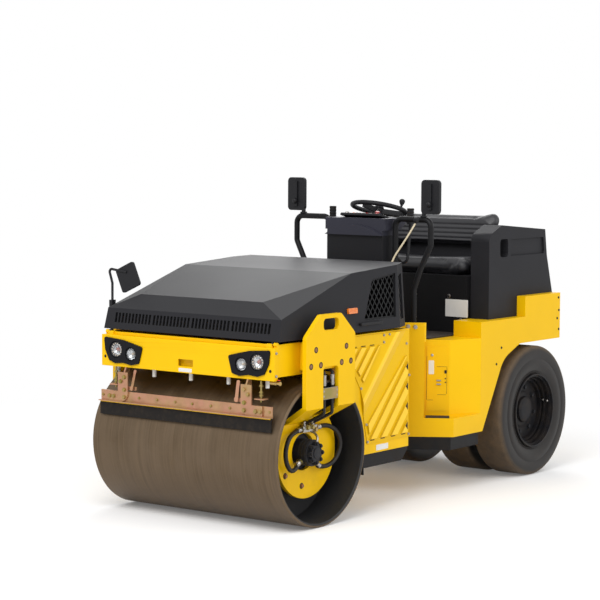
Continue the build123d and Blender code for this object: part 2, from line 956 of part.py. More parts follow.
with BuildPart() as hood:
    with BuildSketch(side_plane(hood_low_half)):
        outline((
            (x_drum + hood_front_ahead, hood_low_z),
            (x_drum + fold_one_ahead, fold_one_z),
            (x_drum + fold_two_ahead, fold_two_z),
            (x_drum - fold_three_behind, fold_three_z),
            (x_hood_rear, hood_rear_z),
            (x_hood_rear, hood_low_z),
        ))
    extrude(amount=2 * hood_low_half)
    for side in (1, -1):
        shoulder = facet(
            (x_drum + fold_one_ahead, side * hood_half(fold_one_z), fold_one_z),
            (x_drum + fold_two_ahead, side * fold_two_half, fold_two_z),
            (x_drum - fold_three_behind, side * hood_half(fold_three_z), fold_three_z),
        )
        for cut in (hood_flank(side), shoulder, hood_corner(side)):
            inside = cut.to_local_coords(Vector(x_drum, 0, hood_low_z)).Z
            split(bisect_by=cut, keep=Keep.TOP if inside > 0 else Keep.BOTTOM)
    offset(amount=-hood_wall, openings=hood.faces().sort_by(Axis.Z)[0], kind=Kind.INTERSECTION)
    with BuildSketch(front_plane(x_drum + hood_front_ahead + cut_over)):
        with Locations((0, slot_z)):
            with GridLocations(slot_group_pitch, slot_height, slot_groups, 1):
                with GridLocations(slot_pitch, slot_height, slot_count, 1):
                    Rectangle(slot_width, slot_height)
    extrude(amount=-2 * cut_over, mode=Mode.SUBTRACT)
    for side in (1, -1):
        for flank, field in ((hood_flank(side), side_grille), (hood_corner(side), rear_grille)):
            with BuildSketch(flank):
                outline(field)
            extrude(amount=hood_wall + grille_wall, both=True, mode=Mode.SUBTRACT)
    for side in (1, -1):
        with BuildSketch(side_plane(side * ear_y)):
            outline((
                (x_hinge - hood_eye_radius, hood_hinge_z),
                (x_hinge + hood_eye_radius, hood_hinge_z),
                (x_drum + hood_front_ahead - hood_wall / 2, hood_low_z),
                (x_drum + fold_one_ahead - hood_wall / 2, hood_low_z + hood_ear_rise),
                (x_hinge - hood_ear_back, hood_low_z + hood_ear_rise),
            ))
            with Locations((x_hinge, hood_hinge_z)):
                Circle(hood_eye_radius)
                Circle(hood_pin_radius + running_gap, mode=Mode.SUBTRACT)
        extrude(amount=side * hood_ear_wall)
keep(hood, "hood")

# Meshes behind the hood's side and corner openings: a border round a sheet of diamonds
with BuildPart() as grilles:
    for side in (1, -1):
        for flank, field in ((hood_flank(side), side_grille), (hood_corner(side), rear_grille)):
            inner = flank.offset(-side * (hood_wall + seat_gap))
            with BuildSketch(inner):
                outline(field)
                offset(amount=grille_lap, kind=Kind.INTERSECTION, mode=Mode.REPLACE)
                offset(amount=-grille_lap - grille_border, kind=Kind.INTERSECTION,
                       mode=Mode.SUBTRACT)
            extrude(amount=-side * grille_wall)
            mid_back = (field[0][0] + field[2][0]) / 2
            mid_rise = (field[0][1] + field[2][1]) / 2
            with BuildSketch(inner):
                outline(field)
                for shift_back, shift_rise in ((0, 0), (grille_pitch / 2, grille_rise / 2)):
                    with Locations((mid_back + shift_back, mid_rise + shift_rise)):
                        with GridLocations(grille_pitch, grille_rise, grille_columns, grille_rows):
                            Polygon((grille_hole_half, 0), (0, grille_hole_rise_half),
                                    (-grille_hole_half, 0), (0, -grille_hole_rise_half),
                                    align=None, mode=Mode.SUBTRACT)
            extrude(amount=-side * grille_wall)
keep(grilles, "hood_grilles")

with BuildPart() as side_lamps:
    for side in (1, -1):
        with BuildSketch(hood_flank(side)):
            with Locations((side_lamp_behind, side_lamp_rise)):
                RectangleRounded(side_lamp_length, side_lamp_height, side_lamp_wall / 2)
        extrude(amount=side * side_lamp_wall)
keep(side_lamps, "side_lamps")

with BuildPart() as grips:
    for side in (1, -1):
        with BuildSketch(hood_flank(side)):
            with Locations((grip_behind, grip_rise)):
                Rectangle(grip_length, grip_bar_height)
        extrude(amount=side * grip_proud)
        with BuildSketch(hood_flank(side)):
            with Locations((grip_behind, grip_rise)):
                Rectangle(grip_length - 2 * grip_post, grip_bar_height)
        extrude(amount=side * (grip_proud - grip_slot), mode=Mode.SUBTRACT)
keep(grips, "hood_grips")

# Knuckle between the frames: upright pins in the front lugs, a long shaft back into the rear frame
# and a small fork for the steering cylinder's eye
with BuildPart() as knuckle:
    with BuildSketch(Plane.XY.offset(lug_low_z + knuckle_clear)):
        with Locations((x_pivot, 0)):
            Circle(knuckle_radius)
    extrude(amount=lug_gap - 2 * knuckle_clear)
    with BuildSketch(Plane.XY.offset(lug_low_z - lug_wall)):
        with Locations((x_pivot, 0)):
            Circle(pin_radius)
    extrude(amount=lug_gap + 2 * lug_wall)
    with BuildSketch(front_plane(x_pivot)):
        with Locations((0, pivot_z)):
            Circle(boss_radius)
    extrude(amount=-boss_reach + knuckle_clear)
    with BuildSketch(front_plane(x_pivot)):
        with Locations((0, pivot_z)):
            Circle(trunnion_radius)
    extrude(amount=-boss_reach - trunnion_length)
    for z in (pivot_z - arm_gap / 2 - arm_wall, pivot_z + arm_gap / 2):
        with BuildSketch(Plane.XY.offset(z)):
            with Locations((x_pivot, steer_arm / 2)):
                Rectangle(2 * arm_half, steer_arm)
            with Locations((x_pivot, steer_arm)):
                Circle(arm_half)
        extrude(amount=arm_wall)
keep(knuckle, "pivot_knuckle")

# Steering cylinder: the barrel turns on a pin in the front frame, the rod ends in the knuckle's fork
eye = Vector(x_pivot, steer_arm, pivot_z)
base = Vector(x_base, cylinder_base_y, pivot_z)
cylinder_run = eye - base
cylinder_axis = cylinder_run.normalized()
barrel_end = barrel_share * cylinder_run.length
with BuildPart() as steer_barrel:
    with BuildSketch(Plane(origin=base, z_dir=cylinder_axis)):
        Circle(barrel_radius)
    extrude(amount=barrel_end)
    with BuildSketch(Plane(origin=base + cylinder_axis * barrel_end, z_dir=cylinder_axis)):
        Circle(rod_radius + running_gap)
    extrude(amount=-(barrel_end - 2 * eye_radius), mode=Mode.SUBTRACT)
    with BuildSketch(Plane.XY.offset(pivot_z - eye_wall / 2)):
        with Locations((base.X, base.Y)):
            Circle(eye_radius + cut_over)
    extrude(amount=-cut_over, mode=Mode.SUBTRACT)
    with BuildSketch(Plane.XY.offset(pivot_z + eye_wall / 2)):
        with Locations((base.X, base.Y)):
            Circle(eye_radius + cut_over)
    extrude(amount=cut_over, mode=Mode.SUBTRACT)
    with BuildSketch(Plane.XY.offset(pivot_z - eye_wall / 2)):
        with Locations((base.X, base.Y)):
            Circle(eye_radius)
    extrude(amount=eye_wall)
    with BuildSketch(Plane.XY.offset(pivot_z - eye_wall)):
        with Locations((base.X, base.Y)):
            Circle(base_pin_radius + running_gap)
    extrude(amount=2 * eye_wall, mode=Mode.SUBTRACT)
keep(steer_barrel, "steer_barrel")

rod_start = barrel_end - rod_engage
with BuildPart() as steer_rod:
    with BuildSketch(Plane(origin=base + cylinder_axis * rod_start, z_dir=cylinder_axis)):
        Circle(rod_radius)
    extrude(amount=cylinder_run.length - rod_start)
    with BuildSketch(Plane.XY.offset(pivot_z - eye_wall / 2)):
        with Locations((eye.X, eye.Y)):
            Circle(eye_radius)
    extrude(amount=eye_wall)
keep(steer_rod, "steer_rod")

# Rear frame: a nose whose faces lie back from the middle, with a step niche in each side,
# a floor, wheel arches either side of a spine, and a tail
nose_out_x = cos(radians(nose_angle))
nose_out_y = sin(radians(nose_angle))


def nose_x(y):
    """X of the nose's face at a distance y from the centre plane."""
    return x_pivot + (nose_reach - nose_out_y * y) / nose_out_x


niche_start = Vector(nose_x(niche_start_y), niche_start_y)
niche_in = niche_start - Vector(nose_out_x, nose_out_y) * niche_depth
niche_end = niche_in + Vector(-nose_out_y, nose_out_x) * niche_run
nose_flat_y = (nose_reach - nose_out_x * nose_flat) / nose_out_y
x_arch_front = x_pivot - arch_front_back
x_rear_plate = x_pivot - rear_plate_back


def mirrored(points):
    """Closed outline from the points of its left half, front to back."""
    return tuple(points) + tuple((x, -y) for x, y in reversed(points))


with BuildPart() as rear_frame:
    with BuildSketch(Plane.XY.offset(belly_z)):
        outline(mirrored((
            (x_pivot + nose_flat, nose_flat_y),
            (nose_x(rear_half), rear_half),
            (x_arch_front, rear_half),
        )))
    extrude(amount=step_z - belly_z)
    with BuildSketch(Plane.XY.offset(step_z)):
        outline(mirrored((
            (x_pivot + nose_flat, nose_flat_y),
            (niche_start.X, niche_start.Y),
            (niche_in.X, niche_in.Y),
            (niche_end.X, niche_end.Y),
            (x_arch_front, rear_half),
        )))
    extrude(amount=floor_z - step_z)
    with BuildSketch(side_plane(rear_half)) as form:
        outline((
            (x_arch_front, belly_z),
            (x_arch_front, fender_z),
            (x_pivot - tail_front_back, fender_z),
            (x_pivot - tail_front_back, tail_z),
            (x_rear_plate, tail_z),
            (x_rear_plate, arch_top_z),
            (x_axle + arch_top_ahead, arch_top_z),
            (x_axle + arch_shoulder_ahead, arch_shoulder_z),
            (x_axle + arch_foot_ahead, belly_z),
        ))
        corner = form.vertices().sort_by_distance(
            (x_axle + arch_shoulder_ahead, arch_shoulder_z, 0))[0]
        fillet(corner, arch_round)
        corner = form.vertices().sort_by_distance((x_axle + arch_top_ahead, arch_top_z, 0))[0]
        fillet(corner, arch_top_round)
    extrude(amount=2 * rear_half)
    with BuildSketch(side_plane(spine_half)):
        outline((
            (x_arch_front, spine_low_z),
            (x_arch_front, arch_top_z),
            (x_rear_plate, arch_top_z),
            (x_rear_plate, spine_low_z),
        ))
    extrude(amount=2 * spine_half)
    with BuildSketch(Plane.XY.offset(floor_z)):
        with Locations((x_arch_front, 0)):
            Rectangle(seat_front_back + seat_base_wall - arch_front_back, 2 * seat_half,
                      align=(Align.MAX, Align.CENTER))
    extrude(amount=fender_z - floor_z, mode=Mode.SUBTRACT)
    toe_back = toe_wall / nose_out_x
    with BuildSketch(Plane.XY.offset(floor_z)):
        outline(mirrored((
            (x_pivot + nose_flat, nose_flat_y),
            (niche_start.X, niche_start.Y),
            (niche_start.X - toe_back, niche_start.Y),
        )))
        Polygon(*mirrored((
            (x_pivot + nose_flat - toe_back, nose_flat_y),
            (niche_start.X - toe_back, niche_start.Y),
        )), align=None, mode=Mode.SUBTRACT)
    extrude(amount=toe_z - floor_z)
    with BuildSketch(Plane.XY.offset(belly_z - cut_over)):
        with Locations((x_pivot - pocket_back, 0)):
            Rectangle(pocket_back + nose_flat + cut_over, 2 * pocket_half, align=(Align.MIN, Align.CENTER))
    extrude(amount=pocket_top_z - belly_z + cut_over, mode=Mode.SUBTRACT)
    with BuildSketch(front_plane(x_pivot - pocket_back)):
        with Locations((0, pivot_z)):
            Circle(trunnion_radius + running_gap)
    extrude(amount=-trunnion_length, mode=Mode.SUBTRACT)
keep(rear_frame, "rear_frame")

# Service doors on the niches' inner walls and treads on their steps
with BuildPart() as covers:
    wall = Plane(origin=(niche_in.X, niche_in.Y, 0), x_dir=(-nose_out_y, nose_out_x, 0),
                 z_dir=(nose_out_x, nose_out_y, 0))
    with BuildSketch(wall):
        with Locations((niche_run / 2, (door_low_z + door_high_z) / 2)):
            RectangleRounded(niche_run - 2 * door_inset, door_high_z - door_low_z, door_wall)
    extrude(amount=door_wall)
    mirror(about=Plane.XZ)
keep(covers, "service_doors")

with BuildPart() as treads:
    with BuildSketch(Plane.XY.offset(step_z)):
        with Locations(Location((niche_in.X, niche_in.Y), nose_angle)):
            with Locations((tread_inset + door_wall, tread_inset)):
                Rectangle(tread_length, niche_run - tread_inset, align=(Align.MIN, Align.MIN))
        Polygon((nose_x(niche_in.Y) - tread_inset, niche_in.Y),
                (nose_x(rear_half) - tread_inset, rear_half),
                (nose_x(rear_half) + niche_run, rear_half + niche_run),
                (nose_x(niche_in.Y) + niche_run, niche_in.Y), align=None, mode=Mode.SUBTRACT)
    extrude(amount=tread_wall)
    mirror(about=Plane.XZ)
keep(treads, "step_treads")

with BuildPart() as rear_skirts:
    with BuildSketch(Plane.XY.offset(belly_z - rear_skirt_depth)):
        outline((
            (nose_x(pocket_half), pocket_half),
            (nose_x(rear_half - skirt_wall), rear_half - skirt_wall),
            (x_arch_front, rear_half - skirt_wall),
            (x_arch_front, rear_half - 2 * skirt_wall),
            (nose_x(rear_half - skirt_wall) - skirt_wall, rear_half - 2 * skirt_wall),
            (nose_x(pocket_half) - skirt_wall / nose_out_x, pocket_half),
        ))
    extrude(amount=rear_skirt_depth)
    mirror(about=Plane.XZ)
keep(rear_skirts, "rear_skirts")

# Axle beam under the spine, and wheel motors at its ends
axle_half = half_width - rim_dish - rim_disc_wall - running_clear
with BuildPart() as axle:
    with BuildSketch(side_plane(axle_half)):
        with Locations((x_axle, axle_z)):
            Circle(axle_radius)
    extrude(amount=2 * axle_half)
    with BuildSketch(side_plane(spine_half + axle_flange_wall)):
        with Locations((x_axle, axle_z)):
            Circle(axle_flange_radius)
    extrude(amount=axle_flange_wall)
    with BuildSketch(side_plane(-spine_half)):
        with Locations((x_axle, axle_z)):
            Circle(axle_flange_radius)
    extrude(amount=axle_flange_wall)
    with BuildSketch(side_plane(spine_half)):
        with Locations((x_axle, axle_z)):
            Circle(axle_radius + cut_over)
    extrude(amount=2 * spine_half, mode=Mode.SUBTRACT)
keep(axle, "axle_stubs")

# Twin wheels: two tyres and one rim drum a side
tyre_out_y = half_width
tyre_in_y = half_width - 2 * tyre_width - twin_gap
for side, name in ((1, "left"), (-1, "right")):
    with BuildPart() as tyres:
        for low_y in (tyre_in_y, tyre_out_y - tyre_width):
            with BuildSketch(Plane.YZ.offset(x_axle)):
                outline((
                    (low_y, axle_z + rim_radius + seat_gap),
                    (low_y, axle_z + tyre_radius - tyre_shoulder),
                    (low_y + tyre_shoulder, axle_z + tyre_radius),
                    (low_y + tyre_width - tyre_shoulder, axle_z + tyre_radius),
                    (low_y + tyre_width, axle_z + tyre_radius - tyre_shoulder),
                    (low_y + tyre_width, axle_z + rim_radius + seat_gap),
                ))
            revolve(axis=Axis((x_axle, 0, axle_z), (0, 1, 0)))
        if side < 0:
            mirror(about=Plane.XZ, mode=Mode.REPLACE)
    keep(tyres, "tyres_" + name)
    with BuildPart() as rims:
        for low_y in (tyre_in_y, tyre_out_y - tyre_width):
            with BuildSketch(side_plane(low_y + tyre_width)):
                with Locations((x_axle, axle_z)):
                    Circle(rim_radius)
                    Circle(rim_radius - rim_wall, mode=Mode.SUBTRACT)
            extrude(amount=tyre_width)
        with BuildSketch(side_plane(tyre_out_y - rim_dish)):
            with Locations((x_axle, axle_z)):
                Circle(rim_radius)
        extrude(amount=rim_disc_wall)
        with BuildSketch(side_plane(tyre_out_y - tyre_width)):
            with Locations((x_axle, axle_z)):
                Circle(rim_radius)
                Circle(rim_radius - rim_wall, mode=Mode.SUBTRACT)
        extrude(amount=twin_gap)
        for depth, width, radius in rim_rings:
            with BuildSketch(side_plane(tyre_out_y - depth)):
                with Locations((x_axle, axle_z)):
                    Circle(rim_radius - rim_wall / 2)
                    Circle(radius, mode=Mode.SUBTRACT)
            extrude(amount=width)
        with BuildSketch(side_plane(tyre_out_y - rim_dish)):
            with Locations((x_axle, axle_z)):
                Circle(hub_drum_radius)
                Circle(axle_radius + running_gap, mode=Mode.SUBTRACT)
        extrude(amount=tyre_out_y - rim_dish - tyre_in_y)
        if side < 0:
            mirror(about=Plane.XZ, mode=Mode.REPLACE)
    keep(rims, "rims_" + name)


def recess_x(z):
    """X of the leaning back wall that the backrest lies against."""
    lean_share = (z - backrest_low_z) / (backrest_top_z - backrest_low_z)
    return x_pivot - backrest_front_back - backrest_wall - seat_gap - backrest_lean * lean_share


# Seat shell over the tail: two side bodies and a back, with a handle hole each side
with BuildPart() as seat_shell:
    with BuildSketch(side_plane(shell_half)):
        outline((
            (x_pivot - shell_front_back, fender_z),
            (x_pivot - shell_front_back, shell_shoulder_z),
            (x_pivot - shell_peak_back, shell_top_z),
            (x_pivot - shell_rear_top_back, shell_rear_top_z),
            (x_pivot - shell_rear_mid_back, shell_rear_mid_z),
            (x_pivot - shell_rear_low_back, tail_z),
            (x_pivot - tail_front_back, tail_z),
            (x_pivot - tail_front_back, fender_z),
        ))
    extrude(amount=2 * shell_half)
    shoulder = seat_shell.edges().filter_by(Axis.Y).sort_by_distance(
        (x_pivot - shell_front_back, 0, shell_shoulder_z))[0]
    fillet(shoulder, shell_round)
    for side in (1, -1):
        with BuildSketch(side_plane(side * shell_half)) as form:
            outline((
                (x_pivot - relief_front_back, relief_low_z),
                (x_pivot - relief_front_back, relief_high_z),
                (x_pivot - relief_rear_back + shell_relief, relief_high_z),
                (x_pivot - relief_rear_back, relief_low_z),
            ))
            fillet(form.vertices(), shell_relief)
        extrude(amount=side * shell_relief, mode=Mode.SUBTRACT)
    with BuildSketch(side_plane(seat_half + seat_side_gap)):
        outline((
            (x_pivot - shell_front_back + cut_over, fender_z - cut_over),
            (x_pivot - shell_front_back + cut_over, shell_top_z + cut_over),
            (recess_x(shell_top_z + cut_over), shell_top_z + cut_over),
            (recess_x(tail_z), tail_z),
            (x_pivot - tail_front_back, tail_z),
            (x_pivot - tail_front_back, fender_z - cut_over),
        ))
    extrude(amount=2 * (seat_half + seat_side_gap), mode=Mode.SUBTRACT)
    with BuildSketch(side_plane(shell_half + cut_over)):
        with Locations((x_pivot - handle_back, handle_z)):
            RectangleRounded(handle_width, handle_height, handle_round)
    extrude(amount=2 * (shell_half + cut_over), mode=Mode.SUBTRACT)
keep(seat_shell, "seat_shell")

with BuildPart() as seat_base:
    with BuildSketch(side_plane(seat_half)):
        outline((
            (x_pivot - seat_front_back, floor_z),
            (x_pivot - seat_front_back, seat_low_z),
            (recess_x(seat_low_z), seat_low_z),
            (recess_x(tail_z), tail_z),
            (x_pivot - tail_front_back, tail_z),
            (x_pivot - tail_front_back, fender_z),
            (x_pivot - seat_front_back - seat_base_wall, fender_z),
            (x_pivot - seat_front_back - seat_base_wall, floor_z),
        ))
    extrude(amount=2 * seat_half)
keep(seat_base, "seat_base")

with BuildPart() as cushion:
    with BuildSketch(side_plane(seat_half)):
        outline((
            (x_pivot - seat_front_back, seat_low_z + seat_gap),
            (x_pivot - seat_front_back, seat_high_z),
            (x_pivot - backrest_front_back, seat_high_z),
            (x_pivot - backrest_front_back, seat_low_z + seat_gap),
        ))
    extrude(amount=2 * seat_half)
    fillet(cushion.edges().filter_by(Axis.Y).group_by(Axis.Z)[-1], seat_round)
keep(cushion, "seat_cushion")

with BuildPart() as backrest:
    with BuildSketch(side_plane(seat_half)):
        outline((
            (x_pivot - backrest_front_back, backrest_low_z),
            (x_pivot - backrest_front_back - backrest_lean, backrest_top_z),
            (x_pivot - backrest_front_back - backrest_lean - backrest_wall, backrest_top_z),
            (x_pivot - backrest_front_back - backrest_wall, backrest_low_z),
        ))
    extrude(amount=2 * seat_half)
    fillet(backrest.edges().filter_by(Axis.Y).group_by(Axis.Z)[-1], seat_round)
keep(backrest, "seat_backrest")

# Console with its cap, the steering column and the two travel levers
x_console = x_pivot - console_front_back
with BuildPart() as console:
    with BuildSketch(Plane.XY.offset(floor_z)):
        with Locations((x_console - console_depth / 2, 0)):
            Rectangle(console_depth, 2 * console_half)
    extrude(amount=console_top_z - floor_z)
    with BuildSketch(side_plane(cap_half)):
        outline((
            (x_console, console_top_z - cap_height),
            (x_console, console_top_z),
            (x_console - console_depth - cap_over, console_top_z),
            (x_console - console_depth, console_top_z - cap_height),
        ))
    extrude(amount=2 * cap_half)
    with BuildSketch(front_plane(x_console)):
        with BuildLine():
            ThreePointArc((-visor_half, visor_low_z), (0, visor_peak_z), (visor_half, visor_low_z))
            Line((visor_half, visor_low_z), (-visor_half, visor_low_z))
        make_face()
    extrude(amount=visor_wall)
    column = Plane(origin=(x_pivot - wheel_back, 0, wheel_z),
                   z_dir=(-sin(radians(wheel_tilt)), 0, cos(radians(wheel_tilt))))
    with BuildSketch(column.offset(-column_foot)):
        Circle(column_radius)
    extrude(amount=column_foot - column_gap)
    with BuildSketch(column.offset(-column_gap)):
        Circle(column_bore)
    extrude(amount=column_gap)
keep(console, "console")

with BuildPart() as steering_wheel:
    with BuildSketch(Plane(origin=column.origin + column.x_dir * (wheel_radius - wheel_rim),
                           x_dir=column.x_dir, z_dir=column.y_dir)):
        Circle(wheel_rim)
    revolve(axis=Axis(column.origin, column.z_dir))
    with BuildSketch(column.offset(-column_gap + seat_gap)):
        Circle(2 * column_bore)
        with PolarLocations(wheel_radius / 2, wheel_spokes):
            Rectangle(wheel_radius - 2 * wheel_rim, wheel_rim)
        Circle(column_bore + running_gap, mode=Mode.SUBTRACT)
    extrude(amount=column_gap)
    knob_base = column.origin + column.y_dir * (wheel_radius - wheel_rim)
    with BuildSketch(Plane(origin=knob_base, x_dir=column.x_dir, z_dir=-column.y_dir)):
        with BuildLine():
            Line((0, 0), (knob_stem, 0))
            Spline((knob_stem, 0), (knob_stem, knob_height / 3), (knob_radius, knob_full_height),
                   (0, knob_height), tangents=((0, 1), (-1, 0)))
            Line((0, knob_height), (0, 0))
        make_face()
    revolve(axis=Axis(knob_base, column.z_dir))
keep(steering_wheel, "steering_wheel")

with BuildPart() as levers:
    for side in (1, -1):
        y = side * lever_y
        add(tube((
            (x_console - lever_foot_back, side * console_half, lever_low_z),
            (x_console - lever_foot_back, y, lever_low_z),
            (x_console - lever_top_back, y, lever_high_z),
        ), lever_radius, lever_bend))
        with BuildSketch(Plane.XY.offset(lever_high_z)):
            with Locations((x_console - lever_top_back, y)):
                Circle(grip_radius)
        extrude(amount=grip_height)
keep(levers, "travel_levers")

# Grab rails at the front of the platform, with the mirrors on them
rail_stations = (
    # y, z
    (rear_half - rail_foot_inset, floor_z),
    (rear_half - rail_foot_inset, rail_low_bend_z),
    (rear_half - rail_knee_inset, rail_knee_z),
    (rear_half - rail_top_inset, rail_high_bend_z),
    (rear_half - rail_top_inset, rail_top_z),
    (console_half + rail_console_gap, rail_top_z),
    (console_half + rail_console_gap, floor_z),
)
x_rail = x_pivot - rail_back
for side, name in ((1, "left"), (-1, "right")):
    with BuildPart() as rail:
        add(tube([(x_rail, side * y, z) for y, z in rail_stations], rail_radius, rail_bend))
    keep(rail, "grab_rail_" + name)

with BuildPart() as mirrors:
    for side in (1, -1):
        with BuildSketch(front_plane(x_rail + mirror_wall / 2)):
            with Locations((side * mirror_y, mirror_z)):
                RectangleRounded(mirror_width, mirror_height, mirror_wall)
        extrude(amount=-mirror_wall)
        with BuildSketch(Plane.XY.offset(rail_top_z + rail_radius + seat_gap)):
            with Locations((x_rail, side * mirror_arm_y)):
                Circle(mirror_arm_radius)
        extrude(amount=mirror_z - rail_top_z - rail_radius - mirror_height / 2)
        with BuildSketch(front_plane(x_rail + mirror_wall / 2)):
            with Locations((side * mirror_y, mirror_z)):
                Rectangle(mirror_rib, mirror_height - 2 * mirror_wall)
        extrude(amount=mirror_rib_proud)
keep(mirrors, "mirrors")

with BuildPart() as panes:
    for side in (1, -1):
        with BuildSketch(front_plane(x_rail - mirror_wall / 2)):
            with Locations((side * mirror_y, mirror_z)):
                RectangleRounded(mirror_width - 2 * pane_border, mirror_height - 2 * pane_border,
                                 mirror_wall - pane_border)
        extrude(amount=-pane_wall)
keep(panes, "mirror_panes")

with BuildPart() as mat:
    with BuildSketch(Plane.XY.offset(floor_z)):
        with Locations(((x_console - console_depth + x_pivot - seat_front_back) / 2, 0)):
            Rectangle(seat_front_back - console_front_back - console_depth - 2 * mat_wall,
                      2 * (seat_half - mat_wall))
    extrude(amount=mat_wall)
keep(mat, "floor_mat")

with BuildPart() as tail_lamps:
    for side in (1, -1):
        with BuildSketch(front_plane(x_rear_plate)):
            with Locations((side * tail_lamp_y, tail_lamp_z)):
                Rectangle(tail_lamp_width, tail_lamp_height)
        extrude(amount=-tail_lamp_wall)
keep(tail_lamps, "tail_lamps")

# Towing clevis at the back of the spine
with BuildPart() as tow_clevis:
    for z in (tow_clevis_z - tow_gap / 2 - tow_ear_wall, tow_clevis_z + tow_gap / 2):
        with BuildSketch(Plane.XY.offset(z)):
            with Locations((x_rear_plate, 0)):
                Rectangle(tow_reach, 2 * tow_ear_radius, align=(Align.MAX, Align.CENTER))
            with Locations((x_rear_plate - tow_reach, 0)):
                Circle(tow_ear_radius)
                Circle(tow_pin_radius, mode=Mode.SUBTRACT)
        extrude(amount=tow_ear_wall)
keep(tow_clevis, "tow_clevis")

# Front scraper: an angle bar on two J-shaped brackets, carried by arms under the lamp panel, with
# a rubber strip before the drum
x_scraper = x_drum + scraper_ahead
bar_low_z = scraper_z - scraper_bar_height / 2
with BuildPart() as scraper:
    with BuildSketch(side_plane(side_half)):
        with Locations((x_scraper - scraper_bar_wall / 2, scraper_z)):
            Rectangle(scraper_bar_wall, scraper_bar_height)
        with Locations((x_scraper, bar_low_z)):
            Rectangle(lip_depth, lip_wall, align=(Align.MIN, Align.MIN))
    extrude(amount=2 * side_half)
    for side in (1, -1):
        with BuildSketch(front_plane(x_scraper)) as form:
            outline([(side * y, z) for y, z in (
                (bracket_inner_y, bar_low_z + lip_wall),
                (bracket_inner_y + bracket_foot, bar_low_z + lip_wall),
                (bracket_inner_y + bracket_foot, scraper_z + scraper_bar_height / 2),
                (bracket_inner_y + bracket_stem, scraper_z + scraper_bar_height / 2),
                (bracket_inner_y + bracket_stem, scraper_z + bracket_height),
                (bracket_inner_y, scraper_z + bracket_height),
            )])
            heel = form.vertices().sort_by_distance((side * bracket_inner_y, bar_low_z, 0))[0]
            fillet(heel, bracket_round)
        extrude(amount=bracket_wall)
        with BuildSketch(side_plane(side * (bracket_inner_y + bracket_stem / 2))):
            outline((
                (x_frame_front, panel_low_z),
                (x_frame_front + panel_depth, panel_low_z),
                (x_scraper, scraper_z + bracket_height),
                (x_scraper, scraper_z + scraper_bar_height),
                (x_frame_front, scraper_z + bracket_height),
            ))
        extrude(amount=side * arm_sheet)
keep(scraper, "front_scraper")

with BuildPart() as rubber:
    with BuildSketch(side_plane(side_half)):
        outline((
            (x_scraper, bar_low_z),
            (x_scraper + rubber_wall, bar_low_z),
            (x_scraper + rubber_wall, bar_low_z - rubber_height),
            (x_scraper, bar_low_z - rubber_height),
        ))
    extrude(amount=2 * side_half)
keep(rubber, "scraper_rubber")

# Spray pipe under the front box with its nozzles
x_spray = x_frame_front - spray_behind
spray_z = cross_box_z - spray_pipe_radius
with BuildPart() as spray:
    with BuildSketch(side_plane(side_half - plate_wall)):
        with Locations((x_spray, spray_z)):
            Circle(spray_pipe_radius)
    extrude(amount=2 * (side_half - plate_wall))
    with BuildSketch(Plane.XY.offset(spray_z)):
        with Locations((x_spray, 0)):
            with GridLocations(nozzle_pitch, nozzle_pitch, 1, nozzle_count):
                Circle(nozzle_radius)
    extrude(amount=-nozzle_drop - spray_pipe_radius)
keep(spray, "spray_pipe")

# Rear scraper: a blade behind the drum on two arms under the frame's floor
x_blade = x_drum - rear_blade_behind
with BuildPart() as rear_scraper:
    with BuildSketch(side_plane(half_width - shell_wall)):
        with Locations((x_blade, rear_blade_z)):
            Rectangle(rear_blade_wall, rear_blade_height, align=(Align.MAX, Align.CENTER))
    extrude(amount=2 * (half_width - shell_wall))
    for side in (1, -1):
        with BuildSketch(side_plane(side * rear_arm_y)):
            outline((
                (x_blade - rear_blade_wall, rear_blade_z - rear_blade_height / 2),
                (x_blade - rear_blade_wall, rear_blade_z + rear_blade_height / 2),
                (x_guard_low, belly_z),
                (x_guard_low - rear_arm_drop, belly_z),
            ))
        extrude(amount=side * rear_arm_wall)
keep(rear_scraper, "rear_scraper")

# Mirror at the hood's front right corner on a bent arm
x_corner = x_drum + corner_ahead
with BuildPart() as corner_mirror:
    with BuildSketch(front_plane(x_corner - corner_foot_half)):
        outline((
            (-hood_half(corner_foot_low_z), corner_foot_low_z),
            (-hood_half(corner_foot_high_z), corner_foot_high_z),
            (-hood_low_half - corner_out, corner_foot_high_z),
            (-hood_low_half - corner_out, corner_foot_low_z),
        ))
    extrude(amount=2 * corner_foot_half)
    add(tube([(x_corner, -hood_low_half - out, z) for out, z in corner_arm],
             corner_arm_radius, corner_arm_bend))
    with BuildSketch(front_plane(x_corner)):
        with Locations(Location((-hood_low_half + corner_glass_inset, corner_glass_z),
                                corner_glass_turn)):
            RectangleRounded(corner_glass, corner_glass, corner_glass_wall)
    extrude(amount=-corner_glass_wall)
keep(corner_mirror, "corner_mirror")
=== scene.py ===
"""Looks of an articulated combination roller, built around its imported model.

The file is laid out as an add-on: sizes and colours are properties, each piece or group of like
pieces has an operator, and a panel in the 3D view's sidebar lists them. Run as a script, it makes
everything in order. Metres, +X towards the drum, +Y the machine's left side, +Z up.
"""
import math

import bpy
import numpy as np
from mathutils import Matrix, Vector


